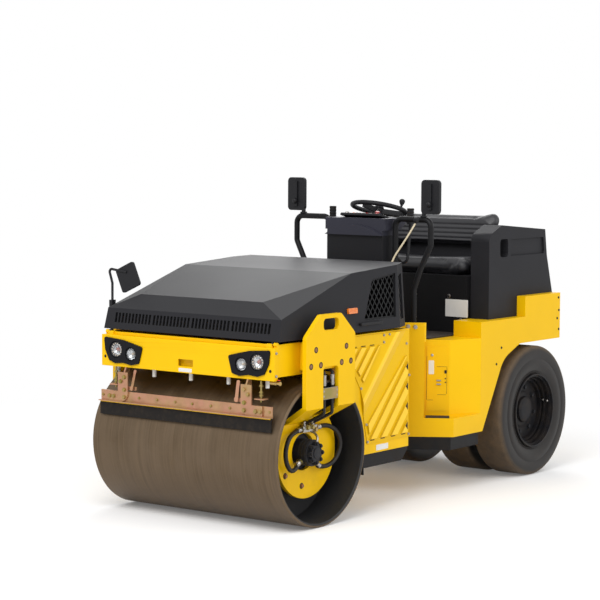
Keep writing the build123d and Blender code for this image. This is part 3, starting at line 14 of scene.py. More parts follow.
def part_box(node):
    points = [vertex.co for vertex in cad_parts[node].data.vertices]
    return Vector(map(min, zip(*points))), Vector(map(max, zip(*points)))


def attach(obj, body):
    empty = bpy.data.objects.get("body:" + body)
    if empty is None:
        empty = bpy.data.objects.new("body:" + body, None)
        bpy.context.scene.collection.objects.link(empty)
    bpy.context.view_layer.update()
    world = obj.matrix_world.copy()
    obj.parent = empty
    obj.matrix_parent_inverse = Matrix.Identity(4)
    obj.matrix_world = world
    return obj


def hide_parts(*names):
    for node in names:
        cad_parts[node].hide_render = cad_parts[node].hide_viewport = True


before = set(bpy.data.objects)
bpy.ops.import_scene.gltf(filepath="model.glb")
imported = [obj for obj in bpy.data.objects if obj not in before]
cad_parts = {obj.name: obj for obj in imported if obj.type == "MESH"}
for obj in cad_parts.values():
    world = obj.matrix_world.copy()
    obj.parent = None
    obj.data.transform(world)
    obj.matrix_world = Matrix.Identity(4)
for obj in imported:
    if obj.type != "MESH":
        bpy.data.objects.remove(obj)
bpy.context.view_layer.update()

bl_info = {
    "name": "Combination roller looks",
    "version": (1, 0, 0),
    "blender": (4, 5, 0),
    "location": "3D View > Sidebar > Roller",
    "description": "Finishes, seat, tyres, fastenings and stage of a combination roller",
    "category": "Object",
}

# Places that several pieces share, from the frame
DRUM_LOW, DRUM_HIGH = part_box("drum")
DRUM_AXIS = (DRUM_LOW + DRUM_HIGH) / 2
DRUM_RADIUS = (DRUM_HIGH.z - DRUM_LOW.z) / 2
WHEEL_LOW, WHEEL_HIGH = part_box("tyres_left")
WHEEL_AXIS = (WHEEL_LOW + WHEEL_HIGH) / 2
TYRE_RADIUS = (WHEEL_HIGH.z - WHEEL_LOW.z) / 2
LOUVRE_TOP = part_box("louvre_panel_left")[1].y
PIVOT_X = 0.0025
CONSOLE_STEP = 1.5
NICHE_OUT = (0.829, 0.5592, 0.0)  # the way that the left step niche's inner wall looks
UP = np.array((0.0, 0.0, 1.0))
ORIGIN = (0, 0, 0)
AHEAD, BEHIND, OUT, ABOVE = (1, 0, 0), (-1, 0, 0), (0, 1, 0), (0, 0, 1)
FLAT = np.eye(3)
SIDES = (1, -1)
WHITE = (1.0, 1.0, 1.0, 1.0)
BLACK = (0.0, 0.0, 0.0, 1.0)

# The photograph's camera as it was fitted: place, then azimuth, elevation and roll in degrees,
# and the lens in millimetres
CAMERA_PLACE = (9.6468, 7.0141, 2.0700)
CAMERA_TURN = (37.3375, 4.5795, 0.2978)
CAMERA_LENS = 121.26

# Cloth simulation of the seat pads
PAD_FRAMES = 20
PAD_PRESSURE = 4.0


class Value:
    """A socket in a material's nodes; arithmetic on it adds Math nodes."""

    def __init__(self, tree, socket):
        self.tree = tree
        self.socket = socket

    def of(self, operation, *values, clamp=False):
        """Math node with this operation on the given values."""
        node = self.tree.nodes.new("ShaderNodeMath")
        node.operation = operation
        node.use_clamp = clamp
        for value, socket in zip(values, node.inputs):
            feed(self.tree, value, socket)
        return Value(self.tree, node.outputs[0])

    def __add__(self, other):
        return self.of("ADD", self, other)

    def __sub__(self, other):
        return self.of("SUBTRACT", self, other)

    def __mul__(self, other):
        return self.of("MULTIPLY", self, other)

    def __truediv__(self, other):
        return self.of("DIVIDE", self, other)

    def __pow__(self, other):
        return self.of("POWER", self, other)

    def __rsub__(self, other):
        return self.of("SUBTRACT", other, self)

    def __rtruediv__(self, other):
        return self.of("DIVIDE", other, self)

    def __abs__(self):
        return self.of("ABSOLUTE", self)

    __radd__ = __add__
    __rmul__ = __mul__

    def clamped(self):
        """The value held between 0 and 1."""
        return self.of("ADD", self, 0.0, clamp=True)

    def ramp(self, low, high):
        """0 below low, 1 above high and a straight rise between; falls where high is below low."""
        return ((self - low) / (high - low)).clamped()


def feed(tree, value, socket):
    """Link a Value to a socket, or set the socket to a number, a vector or a colour."""
    if isinstance(value, Value):
        tree.links.new(value.socket, socket)
    elif socket.type == "RGBA":
        socket.default_value = (*value[:3], 1.0)
    else:
        socket.default_value = value


class Finish:
    """A material under way: its Principled shader and the nodes that feed it."""

    def __init__(self, name, colour, roughness, metallic=0.0, **constants):
        self.material = bpy.data.materials.new(name)
        self.material.use_nodes = True
        self.tree = self.material.node_tree
        self.shader = self.tree.nodes["Principled BSDF"]
        self.colour = tuple(colour)
        self.tint(self.colour)
        self.set("Roughness", roughness)
        self.set("Metallic", metallic)
        for socket, value in constants.items():
            self.set(socket.replace("_", " ").title().replace("Ior", "IOR"), value)

    def set(self, socket, value):
        """Set or link one of the shader's sockets."""
        feed(self.tree, value, self.shader.inputs[socket])

    def tint(self, tone):
        """Set the surface's colour, and keep it for what is laid over it."""
        self.tone = tone
        self.set("Base Color", tone)

    def node(self, kind, settings=None, **sockets):
        """A node of any kind: its settings first, then its sockets by name; returns its outputs."""
        node = self.tree.nodes.new("ShaderNode" + kind)
        for key, value in (settings or {}).items():
            setattr(node, key, value)
        for key, value in sockets.items():
            feed(self.tree, value, node.inputs[key.replace("_", " ").title()])
        return {output.name: Value(self.tree, output) for output in node.outputs}

    def place(self):
        """Position on the object, in metres, as three values."""
        return self.node("SeparateXYZ", Vector=self.node("TexCoord")["Object"])

    def normal(self):
        """The way that the surface looks, as three values."""
        return self.node("SeparateXYZ", Vector=self.node("TexCoord")["Normal"])

    def radius(self, axle):
        """Distance from an axle that runs across the machine."""
        axes = self.place()
        along, upright = axes["X"] - axle.x, axes["Z"] - axle.z
        return (along * along + upright * upright) ** 0.5

    def noise(self, scale, detail=3.0, roughness=0.55, stretch=None):
        """Cloudy pattern from 0 to 1; stretch scales the three directions apart."""
        place = self.node("TexCoord")["Object"]
        if stretch:
            place = self.node("Mapping", Vector=place, Scale=stretch)["Vector"]
        return self.node("TexNoise", Vector=place, Scale=scale, Detail=detail,
                         Roughness=roughness)["Fac"]

    def cells(self, scale, feature="F1", voronoi_dimensions="3D", randomness=1.0):
        """Distance to the nearest of many scattered points."""
        settings = {"feature": feature, "voronoi_dimensions": voronoi_dimensions}
        return self.node("TexVoronoi", settings, Vector=self.node("TexCoord")["Object"],
                         Scale=scale, Randomness=randomness)["Distance"]

    def mix(self, share, first, second):
        """Colour between two colours, by a share from 0 to 1."""
        node = self.tree.nodes.new("ShaderNodeMix")
        node.data_type = "RGBA"
        for value, socket in ((share, "Factor"), (first, 6), (second, 7)):
            feed(self.tree, value, node.inputs[socket])
        return Value(self.tree, node.outputs[2])

    def bump(self, height, depth, strength=1.0):
        """Relief of that height, in metres, on the whole finish."""
        self.set("Normal", self.node("Bump", Height=height, Distance=depth,
                                     Strength=strength)["Normal"])


def seen_rays(path):
    """1 for a ray from the camera, metal or glass and 0 for others, by the light path's values."""
    return (path["Is Camera Ray"] + path["Is Glossy Ray"] + path["Is Transmission Ray"]).clamped()


def shade(colour, factor, lift=0.0):
    """A colour made lighter or darker, and paler by a lift."""
    return tuple(min(1.0, part * factor + lift) for part in colour)


FINISHES = {}


def patterned(name, colour, roughness, pattern, tones, span=None, share=1.0, rough=None,
              relief=None, **constants):
    """Finish with one pattern: a noise's settings, or the scale of cells. The colour goes from
    the first tone to the second over a span of the pattern, up to a share; a tone is a colour or
    a factor on the finish's own. rough is a roughness and what the pattern adds to it. relief
    ends with depth and strength, after the settings of its own noise if it has one."""
    made = Finish(name, colour, roughness, **constants)
    cloud = made.noise(*pattern) if isinstance(pattern, tuple) else made.cells(pattern)
    first, second = (shade(made.colour, tone) if isinstance(tone, float) else tone
                     for tone in tones)
    amount = cloud.ramp(*span) if span else cloud
    made.tint(made.mix(amount if share == 1.0 else amount * share, first, second))
    if rough:
        made.set("Roughness", rough[0] + cloud * rough[1])
    if relief:
        *grain, depth, strength = relief
        made.bump(made.noise(*grain) if grain else cloud, depth, strength)
    return made


def tinted(name, colour):
    """Clear coloured lamp plastic with a pattern of small prisms."""
    return patterned(name, colour, 0.12, 160.0, (1.3, 0.7), (0.1, 0.7), relief=(0.0006, 0.6),
                     coat_weight=1.0, coat_roughness=0.04)


def plated(name, colour, sheen):
    """Zinc whose passivation shifts in clouds from a colour to its sheen."""
    made = Finish(name, colour, 0.38, 0.75)
    first = made.noise(6.0, 3.0).ramp(0.3, 0.55)
    second = made.noise(17.0, 4.0).ramp(0.4, 0.7)
    made.tint(made.mix(second * 0.5, made.mix(first, made.colour, sheen),
                       shade(made.colour, 0.7)))
    made.set("Roughness", 0.3 + second * 0.2)
    made.bump(made.noise(90.0, 3.0), 0.0002, 0.3)
    return made


def yellow_paint(colours, name="Yellow paint"):
    """Glossy yellow coat: faint clouding, orange peel, and dust that gathers low down."""
    made = Finish(name, colours.yellow, 0.34, specular_ior_level=0.14)
    cloud = made.noise(2.3)
    dust = made.place()["Z"].ramp(0.42, 0.18) * made.noise(9.0, 6.0).ramp(0.42, 0.75)
    tone = made.mix(cloud.ramp(0.3, 0.7), shade(made.colour, 0.94), made.colour)
    made.tint(made.mix(dust * 0.28, tone, colours.dust))
    made.set("Roughness", 0.30 + cloud * 0.06 + dust * 0.35)
    made.bump(made.noise(420.0, 2.0), 0.00012, 0.35)
    return made


def louvre_paint(colours):
    """Yellow coat, with painted highlight on the strips' tops and painted shade round them."""
    made = yellow_paint(colours, "Louvre paint")
    steep = abs(made.normal()["Y"]).ramp(0.8, 0.5)
    proud = abs(made.place()["Y"]).ramp(LOUVRE_TOP - 0.0035, LOUVRE_TOP - 0.0022)
    # painted shade on the sheet between the strips, darker still on their steep walls, and a
    # painted highlight on their flat tops
    deep = made.mix(0.55, made.tone, shade(made.colour, 0.86))
    wall_shade = made.mix(steep * 0.7, deep, shade(made.colour, 0.58))
    made.tint(made.mix(proud * 0.85, wall_shade, shade(made.colour, 1.1, 0.05)))
    return made


def black_paint(colours):
    """Satin black coat, greyer where dust lies."""
    made = Finish("Black paint", colours.black, 0.42, specular_ior_level=0.14)
    dust = made.place()["Z"].ramp(0.9, 0.2) * made.noise(11.0, 6.0).ramp(0.4, 0.8)
    made.tint(made.mix(dust * 0.08, made.colour, colours.dust))
    made.set("Roughness", 0.38 + dust * 0.3 + made.noise(5.0) * 0.05)
    made.bump(made.noise(380.0, 2.0), 0.00012, 0.3)
    return made


def hood_coat(colours):
    """Dark coat, even grain; painted sky reflection on upward faces, dimmer towards the rear."""
    made = Finish("Hood shell", colours.hood, 0.42, specular_ior_level=0.12)
    cloud = made.noise(1.7, 4.0)
    # painted sky reflection on faces that look up, with painted shade dimming it towards the rear
    fade = 0.3 + made.place()["X"].ramp(0.2, 0.85) * 0.65
    painted_sheen = made.normal()["Z"].ramp(0.35, 0.97) * (0.7 + cloud * 0.6) * fade
    made.tint(made.mix(painted_sheen.clamped(), made.colour, colours.painted_sheen))
    made.set("Roughness", 0.42 + cloud * 0.12)
    made.bump(made.noise(900.0, 2.0), 0.00008, 0.4)
    return made


def seat_shell(colours):
    """Moulded dark seat shell with a coarser grain than the hood's coat."""
    made = patterned("Seat shell", colours.hood, 0.5, (2.4, 4.0), (0.8, 1.1), (0.35, 0.7),
                     rough=(0.44, 0.14), specular_ior_level=0.14)
    made.bump(made.cells(520.0), 0.0002, 0.4)
    return made


def moulding(colours):
    """Black grained plastic of the mirrors, grips and steering wheel."""
    made = patterned("Moulding", colours.moulding, 0.5, 700.0, (0.8, 1.0), (0.0, 0.6),
                     relief=(0.00015, 0.4), specular_ior_level=0.25)
    made.set("Roughness", 0.44 + made.noise(6.0) * 0.14)
    return made


def console_moulding(colours):
    """Console moulding: its upper panel a little bluer and paler than the grained front below."""
    made = Finish("Console moulding", colours.moulding, 0.45, specular_ior_level=0.2)
    upper = made.place()["Z"].ramp(CONSOLE_STEP - 0.002, CONSOLE_STEP + 0.002)
    cloud = made.noise(3.0, 4.0)
    made.tint(made.mix(upper * (0.7 + cloud * 0.4), made.colour, colours.panel))
    made.set("Roughness", 0.48 - upper * 0.1)
    made.bump(made.cells(600.0), 0.00015, 0.4)
    return made


def drum_steel(colours):
    """Rolled steel, rubbed in bands round the drum; the inside is painted black."""
    made = Finish("Drum steel", colours.drum, 0.45, 0.85)
    inside = made.radius(DRUM_AXIS).ramp(DRUM_RADIUS - 0.010, DRUM_RADIUS - 0.014)
    bands = made.noise(3.0, 5.0, 0.7, (0.4, 26.0, 0.4))
    stain = made.noise(4.5, 7.0, 0.6, (1.0, 2.2, 1.0)).ramp(0.35, 0.7)
    worn = made.mix(bands.ramp(0.3, 0.75), shade(made.colour, 0.72), shade(made.colour, 1.2))
    made.tint(made.mix(inside, made.mix(stain * 0.55, worn, colours.dust), colours.black))
    made.set("Metallic", (1 - inside) * (0.9 - stain * 0.35))
    made.set("Roughness", 0.36 + bands * 0.16 + stain * 0.14 + inside * 0.1)
    made.bump(made.noise(60.0, 5.0, 0.6, (0.25, 9.0, 0.25)), 0.0004, 0.5)
    return made


def seat_vinyl(colours):
    """Black seat vinyl with a leather grain, shinier where it is sat on."""
    made = Finish("Seat vinyl", colours.vinyl, 0.42)
    grain = made.cells(420.0, "SMOOTH_F1")
    fold = made.noise(24.0, 4.0)
    made.tint(made.mix(grain.ramp(0.2, 0.7), shade(made.colour, 0.75), made.colour))
    made.set("Roughness", 0.36 + fold * 0.16)
    made.bump(grain * 0.6 + fold * 0.4, 0.0006, 0.5)
    return made


def tyre_rubber(colours):
    """Tyre rubber: brown dust on the smooth tread, darker sidewalls with fine rings."""
    made = Finish("Tyre", colours.rubber, 0.7, specular_ior_level=0.3)
    radius = made.radius(WHEEL_AXIS)
    tread = radius.ramp(TYRE_RADIUS - 0.030, TYRE_RADIUS - 0.004)
    side = 1 - tread
    scuff = made.noise(14.0, 8.0, 0.65)
    fine = made.noise(90.0, 4.0)
    dusty = (tread * (0.42 + scuff.ramp(0.3, 0.75) * 0.5)
             + side * scuff.ramp(0.5, 0.85) * 0.1)
    made.tint(made.mix(dusty * (0.7 + fine * 0.5), made.colour, colours.dust))
    made.set("Roughness", 0.5 + dusty * 0.35)
    rings = radius.of("SINE", radius * 900.0)
    made.bump(rings * side * 0.15 + scuff * 0.6 + fine * 0.3, 0.0006, 0.55)
    return made


def floor_mat(colours):
    """Floor mat with round studs, grey where feet rub them."""
    made = Finish("Floor mat", colours.rubber, 0.6)
    stud = made.cells(42.0, voronoi_dimensions="2D", randomness=0.0).ramp(0.36, 0.26)
    wear = made.noise(7.0, 5.0).ramp(0.4, 0.7)
    made.tint(made.mix(stud * (0.25 + wear * 0.5), made.colour, colours.dust))
    made.bump(stud, 0.002, 0.8)
    return made


def clear_cover(colours):
    """Thin clear cover of a lamp or a dial."""
    made = Finish("Clear cover", (0.9, 0.93, 0.95), 0.03, specular_ior_level=0.3)
    made.set("Alpha", 0.05 + made.noise(50.0, 2.0, 0.5, (1.0, 0.3, 1.0)).ramp(0.45, 0.9) * 0.08)
    return made


def mirror_glass(colours):
    """Silvered glass."""
    made = Finish("Mirror glass", colours.lens, 0.03, 1.0)
    made.set("Roughness", 0.02 + made.noise(9.0).ramp(0.5, 0.9) * 0.05)
    return made


def every_finish(colours):
    """The finishes by their keys."""
    dust, reflection_streaks, wrap = colours.dust, (1.0, 1.0, 0.25), (1.0, 1.0, 0.4)
    return {
        "yellow": yellow_paint(colours), "louvre": louvre_paint(colours),
        "black": black_paint(colours), "hood": hood_coat(colours), "shell": seat_shell(colours),
        "moulding": moulding(colours), "console": console_moulding(colours),
        "drum": drum_steel(colours), "vinyl": seat_vinyl(colours), "tyre": tyre_rubber(colours),
        "mat": floor_mat(colours), "glass": clear_cover(colours), "mirror": mirror_glass(colours),
        "zinc": plated("Passivated zinc", colours.zinc, colours.zinc_pink),
        "olive": plated("Olive zinc", colours.zinc, colours.zinc_olive),
        "red": tinted("Red lens", colours.red),
        "amber": tinted("Amber lens", colours.amber),
        "bulb": tinted("Bulb", colours.bulb),
        "steel": patterned("Bare steel", colours.steel, 0.3, (40.0, 4.0), (0.8, 1.0),
                           rough=(0.2, 0.2), metallic=1.0),
        "brass": patterned("Brass", colours.brass, 0.3, (60.0, 4.0), (0.6, 1.0),
                           rough=(0.22, 0.25), metallic=1.0),
        "copper": patterned("Browned zinc", colours.copper, 0.4, (90.0, 4.0), (0.5, 1.0),
                            (0.35, 0.7), rough=(0.32, 0.2), metallic=0.7),
        # reflector bowls: the dark and bright streaks are painted reflection and painted shade
        "reflector": patterned("Reflector", colours.lens, 0.22, (34.0, 1.0, 0.4, reflection_streaks),
                               (0.3, 0.92), (0.35, 0.65), rough=(0.2, 0.15), metallic=1.0),
        "lens": patterned("Lamp lens", colours.lens, 0.08, (70.0, 1.0, 0.4, (1.0, 2.5, 0.6)),
                          (0.55, 1.0), (0.35, 0.65), relief=(0.002, 0.6), metallic=0.55,
                          coat_weight=1.0, coat_roughness=0.03),
        "iron": patterned("Casting", colours.casting, 0.6, (14.0, 5.0), (1.0, 1.8), (0.4, 0.7),
                          relief=(220.0, 5.0, 0.0005, 0.6), specular_ior_level=0.3),
        "rubber": patterned("Rubber", colours.rubber, 0.68, (30.0, 5.0), (1.0, dust),
                            (0.45, 0.8), 0.12, relief=(500.0, 2.0, 0.0002, 0.5),
                            specular_ior_level=0.14),
        "hose": patterned("Hose cover", colours.rubber, 0.45, (220.0, 2.0, 0.5, wrap),
                          (0.8, 1.5), (0.4, 0.7), rough=(0.38, 0.16), relief=(0.0004, 0.6),
                          specular_ior_level=0.3),
        "rim": patterned("Wheel paint", colours.rim, 0.4, (16.0, 6.0), (1.0, dust), (0.4, 0.8),
                         0.14, (0.34, 0.25), (300.0, 3.0, 0.0002, 0.4),
                         specular_ior_level=0.14),
        "gloss": patterned("Bezel", colours.moulding, 0.3, (30.0, 5.0, 0.6, (1.0, 6.0, 1.0)),
                           (1.0, 2.0), (0.5, 0.9), 0.2, (0.24, 0.12), specular_ior_level=0.1),
        "white": patterned("Pale plastic", colours.pale, 0.5, (26.0, 5.0), (1.0, dust),
                           (0.45, 0.8), 0.45, relief=(300.0, 2.0, 0.0001, 0.3)),
        "plate": patterned("Blank plate", colours.pale, 0.3, (18.0, 5.0), (1.0, 0.7),
                           (0.5, 0.85), 0.25, (0.25, 0.15), coat_weight=0.3,
                           coat_roughness=0.1),
        "cream": patterned("Pale rod", colours.cream, 0.4, (40.0, 5.0), (1.0, 0.45), (0.5, 0.8),
                           0.5),
        "tape": patterned("Step tape", colours.moulding, 0.85, (900.0, 2.0), (1.0, dust),
                          (0.55, 0.75), relief=(0.0008, 0.8)),
        "glow": patterned("Diode", (0.66, 0.54, 0.40), 0.25, (200.0, 2.0), (0.75, 1.0),
                          specular_ior_level=0.3),
        "dark": patterned("Deep shade", (0.004, 0.004, 0.004), 0.9, (60.0,),
                          ((0.003, 0.003, 0.003), (0.012, 0.011, 0.010))),
    }


NODE_FINISHES = {
    "yellow": ("front_frame", "fork_left", "fork_right", "fork_pad_left", "fork_pad_right",
               "lamp_panel", "rear_frame", "tow_clevis", "service_doors"),
    "louvre": ("louvre_panel_left", "louvre_panel_right"),
    "black": ("front_skirts", "pivot_knuckle", "steer_barrel", "rear_skirts", "axle_stubs",
              "seat_base", "grab_rail_left", "grab_rail_right", "hood_grilles", "rear_scraper"),
    "rim": ("rims_left", "rims_right"),
    "hood": ("hood",),
    "shell": ("seat_shell",),
    "console": ("console",),
    "moulding": ("mirrors", "steering_wheel", "hood_grips", "corner_mirror",
                 "travel_levers"),
    "gloss": ("lamp_bezels",),
    "drum": ("drum",),
    "steel": ("drum_hub_left", "drum_hub_right", "steer_rod", "hose_fittings"),
    "zinc": ("front_scraper",),
    "iron": ("engine_block", "drum_motor_left", "drum_motor_right"),
    "lens": ("headlamps",),
    "red": ("tail_lamps",),
    "amber": ("side_lamps",),
    "white": ("spray_pipe",),
    "mirror": ("mirror_panes",),
    "vinyl": ("seat_cushion", "seat_backrest"),
    "hose": ("drum_hoses",),
    "rubber": ("scraper_rubber",),
    "mat": ("floor_mat",),
    "tape": ("step_treads",),
    "tyre": ("tyres_left", "tyres_right"),
}

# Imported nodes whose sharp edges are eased, with the width of the easing in metres
EASED = {
    "hood": 0.0035, "seat_shell": 0.006, "console": 0.005, "rear_frame": 0.0025,
    "fork_left": 0.0025, "fork_right": 0.0025, "fork_pad_left": 0.006, "fork_pad_right": 0.006,
    "lamp_panel": 0.0025, "lamp_bezels": 0.0035, "louvre_panel_left": 0.0018,
    "louvre_panel_right": 0.0018, "mirrors": 0.005, "corner_mirror": 0.003, "seat_base": 0.003,
    "front_skirts": 0.002, "rear_skirts": 0.002, "hood_grips": 0.004, "side_lamps": 0.003,
    "tail_lamps": 0.005, "front_scraper": 0.0012, "hose_fittings": 0.0012, "tow_clevis": 0.002,
}


class Shape:
    """Surfaces gathered as arrays of points and faces, until they are made one mesh."""

    def __init__(self):
        self.points = []
        self.corners = []
        self.sizes = []
        self.marks = []
        self.count = 0

    def add(self, points, faces, mark=0):
        """Points (n, 3) and faces (m, k), whose rows number the points."""
        points = np.asarray(points, float).reshape(-1, 3)
        faces = np.asarray(faces)
        self.points.append(points)
        self.corners.append((faces + self.count).ravel())
        self.sizes.append(np.full(len(faces), faces.shape[1]))
        self.marks.append(np.full(len(faces), mark))
        self.count += len(points)
        return self

    def surface(self, grid, mark=0, round_rows=False, round_columns=False):
        """A quad for each cell of a grid of points; a round direction joins last to first."""
        rows, columns = grid.shape[:2]
        index = np.arange(rows * columns).reshape(rows, columns)
        if round_rows:
            index = np.vstack([index, index[:1]])
        if round_columns:
            index = np.hstack([index, index[:, :1]])
        cells = np.stack([index[:-1, :-1], index[:-1, 1:], index[1:, 1:], index[1:, :-1]], -1)
        return self.add(grid, cells.reshape(-1, 4), mark)

    def lid(self, ring, mark=0):
        """One flat face over a ring of points."""
        return self.add(ring, np.arange(len(ring))[None, :], mark)

    def closed(self, grid, mark=0):
        """Rings of points one above the other, joined round, with a flat face at each end."""
        self.surface(grid, mark, round_columns=True)
        self.lid(grid[0][::-1], mark)
        return self.lid(grid[-1], mark)

    def turned(self, profile, origin, direction, mark=0, steps=24, lids=True):
        """Body of revolution: profile rows are radius and height along a direction from origin;
        point = origin + radius (cos a, sin a) across + height along, for angles a all round."""
        radius, height = np.asarray(profile, float).T
        angle = np.linspace(0.0, 2 * np.pi, steps, endpoint=False)
        local = np.stack([np.outer(radius, np.cos(angle)), np.outer(radius, np.sin(angle)),
                          np.repeat(height[:, None], steps, 1)], -1)
        grid = local @ axes_of(direction).T + np.asarray(origin)
        if lids:
            return self.closed(grid, mark)
        return self.surface(grid, mark, round_columns=True)

    def tube(self, path, radius, mark=0, sides=12, across=(0.0, 0.0, 1.0)):
        """Round bar along points: at each, a ring of that radius square to the run there, whose
        first axis is the run crossed with a fixed direction."""
        path = np.asarray(path, float)
        run = np.gradient(path, axis=0)
        run /= np.linalg.norm(run, axis=1, keepdims=True)
        first = np.cross(run, across)
        first /= np.linalg.norm(first, axis=1, keepdims=True)
        second = np.cross(run, first)
        angle = np.linspace(0.0, 2 * np.pi, sides, endpoint=False)
        reach = np.broadcast_to(radius, len(path))[:, None, None]
        ring = (np.cos(angle)[None, :, None] * first[:, None]
                + np.sin(angle)[None, :, None] * second[:, None])
        return self.closed(path[:, None] + reach * ring, mark)

    def slab(self, outline, origin, axes, wall, edge=0.001, mark=0):
        """Plate with an eased upper edge: its outline (n, 2), anticlockwise in the first two axes,
        is carried along the third, and drawn in by edge along its corners' normals at the top."""
        outline = np.asarray(outline, float)
        before = outline - np.roll(outline, 1, 0)
        after = np.roll(outline, -1, 0) - outline
        before /= np.linalg.norm(before, axis=1, keepdims=True)
        after /= np.linalg.norm(after, axis=1, keepdims=True)
        inward = np.stack([-(before + after)[:, 1], (before + after)[:, 0]], -1)
        inward /= np.linalg.norm(inward, axis=1, keepdims=True)
        levels = ((0.0, 0.0), (0.0, wall - edge), (edge, wall))
        grid = np.array([np.column_stack([outline + inward * drawn, np.full(len(outline), height)])
                         for drawn, height in levels])
        return self.closed(grid @ np.asarray(axes).T + np.asarray(origin), mark)

    def plate(self, size, origin, way, wall, edge, mark=0):
        """Slab whose outline is a rounded rectangle: half width, half height, corner, steps. The
        way it looks is that of an upright wall, or three axes."""
        axes = upright_axes(way) if np.ndim(way) == 1 else way
        return self.slab(rounded_rectangle(*size), origin, axes, wall, edge, mark)

    def copies(self, other, turns, places):
        """Another shape repeated at places (k, 3), with each copy's axes as columns of turns."""
        points = np.concatenate(other.points)
        corners = np.concatenate(other.corners)
        sizes = np.concatenate(other.sizes)
        marks = np.concatenate(other.marks)
        turned = np.einsum("kij,nj->kni", turns, points) + np.asarray(places)[:, None, :]
        steps = np.arange(len(turned))[:, None] * len(points)
        self.points.append(turned.reshape(-1, 3))
        self.corners.append((corners[None, :] + steps + self.count).ravel())
        self.sizes.append(np.tile(sizes, len(turned)))
        self.marks.append(np.tile(marks, len(turned)))
        self.count += turned.shape[0] * turned.shape[1]
        return self

    def piece(self, name, body, finishes, slot=None, crease=35.0):
        """Make the mesh, smooth but for edges sharper than crease degrees, and let it ride; a
        piece without a body belongs to the stage."""
        points = np.concatenate(self.points)
        corners = np.concatenate(self.corners)
        sizes = np.concatenate(self.sizes)
        mesh = bpy.data.meshes.new(name)
        mesh.vertices.add(len(points))
        mesh.vertices.foreach_set("co", points.astype(np.float32).ravel())
        mesh.loops.add(len(corners))
        mesh.loops.foreach_set("vertex_index", corners.astype(np.int32))
        mesh.polygons.add(len(sizes))
        mesh.polygons.foreach_set("loop_start", (np.cumsum(sizes) - sizes).astype(np.int32))
        mesh.polygons.foreach_set("material_index", np.concatenate(self.marks).astype(np.int32))
        mesh.update(calc_edges=True)
        mesh.shade_smooth()
        mesh.set_sharp_from_angle(angle=math.radians(crease))
        for key in finishes:
            mesh.materials.append(FINISHES[key])
        piece = bpy.data.objects.new(name, mesh)
        bpy.context.scene.collection.objects.link(piece)
        if body:
            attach(piece, body)
        return piece


def turned_section(section, centre, steps):
    """Section (n, 2) of radius and place along Y, carried round an axle through centre."""
    angle = np.linspace(0.0, 2 * np.pi, steps, endpoint=False)
    radius, along = np.asarray(section, float).T
    grid = np.empty((steps, len(radius), 3))
    grid[..., 0] = centre[0] + np.sin(angle)[:, None] * radius
    grid[..., 1] = centre[1] + along
    grid[..., 2] = centre[2] + np.cos(angle)[:, None] * radius
    return grid


def arc(centre, radius, start, end, steps):
    """Points of an arc, angles in degrees from the first axis to the second."""
    angle = np.radians(np.linspace(start, end, steps))
    return np.stack([centre[0] + radius * np.cos(angle), centre[1] + radius * np.sin(angle)], -1)


def rounded_rectangle(half_width, half_height, radius, steps=8):
    """Closed outline, anticlockwise, of four quarter arcs joined by straight sides."""
    corners = ((1, 1, 0), (-1, 1, 90), (-1, -1, 180), (1, -1, 270))
    return np.concatenate([
        arc((a * (half_width - radius), b * (half_height - radius)), radius, turn, turn + 90, steps)
        for a, b, turn in corners
    ])


def bolt_shape(size, rise=1.0, mark=0):
    """Hexagon head on a washer, of a thread size: rings whose radius is that of a circle or, for
    the head, of a hexagon at each angle. A rise under 1 makes it flatter."""
    angle = np.linspace(0.0, 2 * np.pi, 24, endpoint=False)
    sixth = np.pi / 3
    hexagon = np.cos(sixth / 2) / np.cos(np.mod(angle, sixth) - sixth / 2)
    rings = (
        # radius, height, hexagon share
        (1.15, 0.00, 0.0),
        (1.15, 0.16, 0.0),
        (0.98, 0.20, 0.0),
        (0.98, 0.20, 1.0),
        (0.98, 0.78, 1.0),
        (0.84, 0.90, 0.0),
        (0.01, 0.92, 0.0),
    )
    grid = np.empty((len(rings), len(angle), 3))
    for row, (radius, height, share) in zip(grid, rings):
        reach = size * radius * (share * hexagon + 1 - share)
        row[:, 0] = reach * np.cos(angle)
        row[:, 1] = reach * np.sin(angle)
        row[:, 2] = size * height * rise
    return Shape().surface(grid, mark, round_columns=True).lid(grid[-1], mark)


def button_shape(size):
    """Low domed head on a washer, of a thread size."""
    profile = np.array(((1.25, 0.0), (1.25, 0.14), (1.0, 0.18), (0.98, 0.42), (0.85, 0.62),
                        (0.55, 0.76), (0.3, 0.8), (0.28, 0.5), (0.05, 0.5)))
    return Shape().turned(profile * size, ORIGIN, ABOVE, steps=18)


def axes_of(direction):
    """Three axes as the columns of an array, the third along the direction."""
    return np.array(Vector(direction).normalized().to_track_quat("Z", "Y").to_matrix())


def upright_axes(normal):
    """Axes of a plate on a wall: across to the left as seen from outside, up, and the normal."""
    out = np.asarray(normal, float) / np.linalg.norm(normal)
    left = np.cross(UP, out)
    return np.stack([left / np.linalg.norm(left), UP, out], 1)


def facing(direction, count):
    """Axes, one set a copy, whose third column is the given direction."""
    return np.repeat(axes_of(direction)[None], count, 0)


def spots(rows, origin=DRUM_AXIS.x):
    """Places in metres from rows of millimetres: ahead of the drum's axle, left, up."""
    return np.asarray(rows, float) / 1000 + (origin, 0, 0)


def rear_spots(rows):
    """Places in metres from rows of millimetres: ahead of the pivot, left, up."""
    return spots(rows, PIVOT_X)


def spot(*row):
    """One such place from the drum's axle."""
    return spots(row)


def rear_spot(*row):
    """One such place from the pivot."""
    return rear_spots(row)


def circle(count, radius, axis, start=0.0):
    """Places evenly round the origin, in the plane square to the axis of that number."""
    angle = np.linspace(0.0, 2 * np.pi, count, endpoint=False) + start
    return np.insert(radius * np.stack([np.cos(angle), np.sin(angle)], -1), axis, 0.0, 1)


def scatter(shape, head, places, direction):
    """Copies of a head at places on the left side and, mirrored, on the right."""
    for side in SIDES:
        way = (direction[0], side * direction[1], direction[2])
        shape.copies(head, facing(way, len(places)), places * (1, side, 1))
    return shape


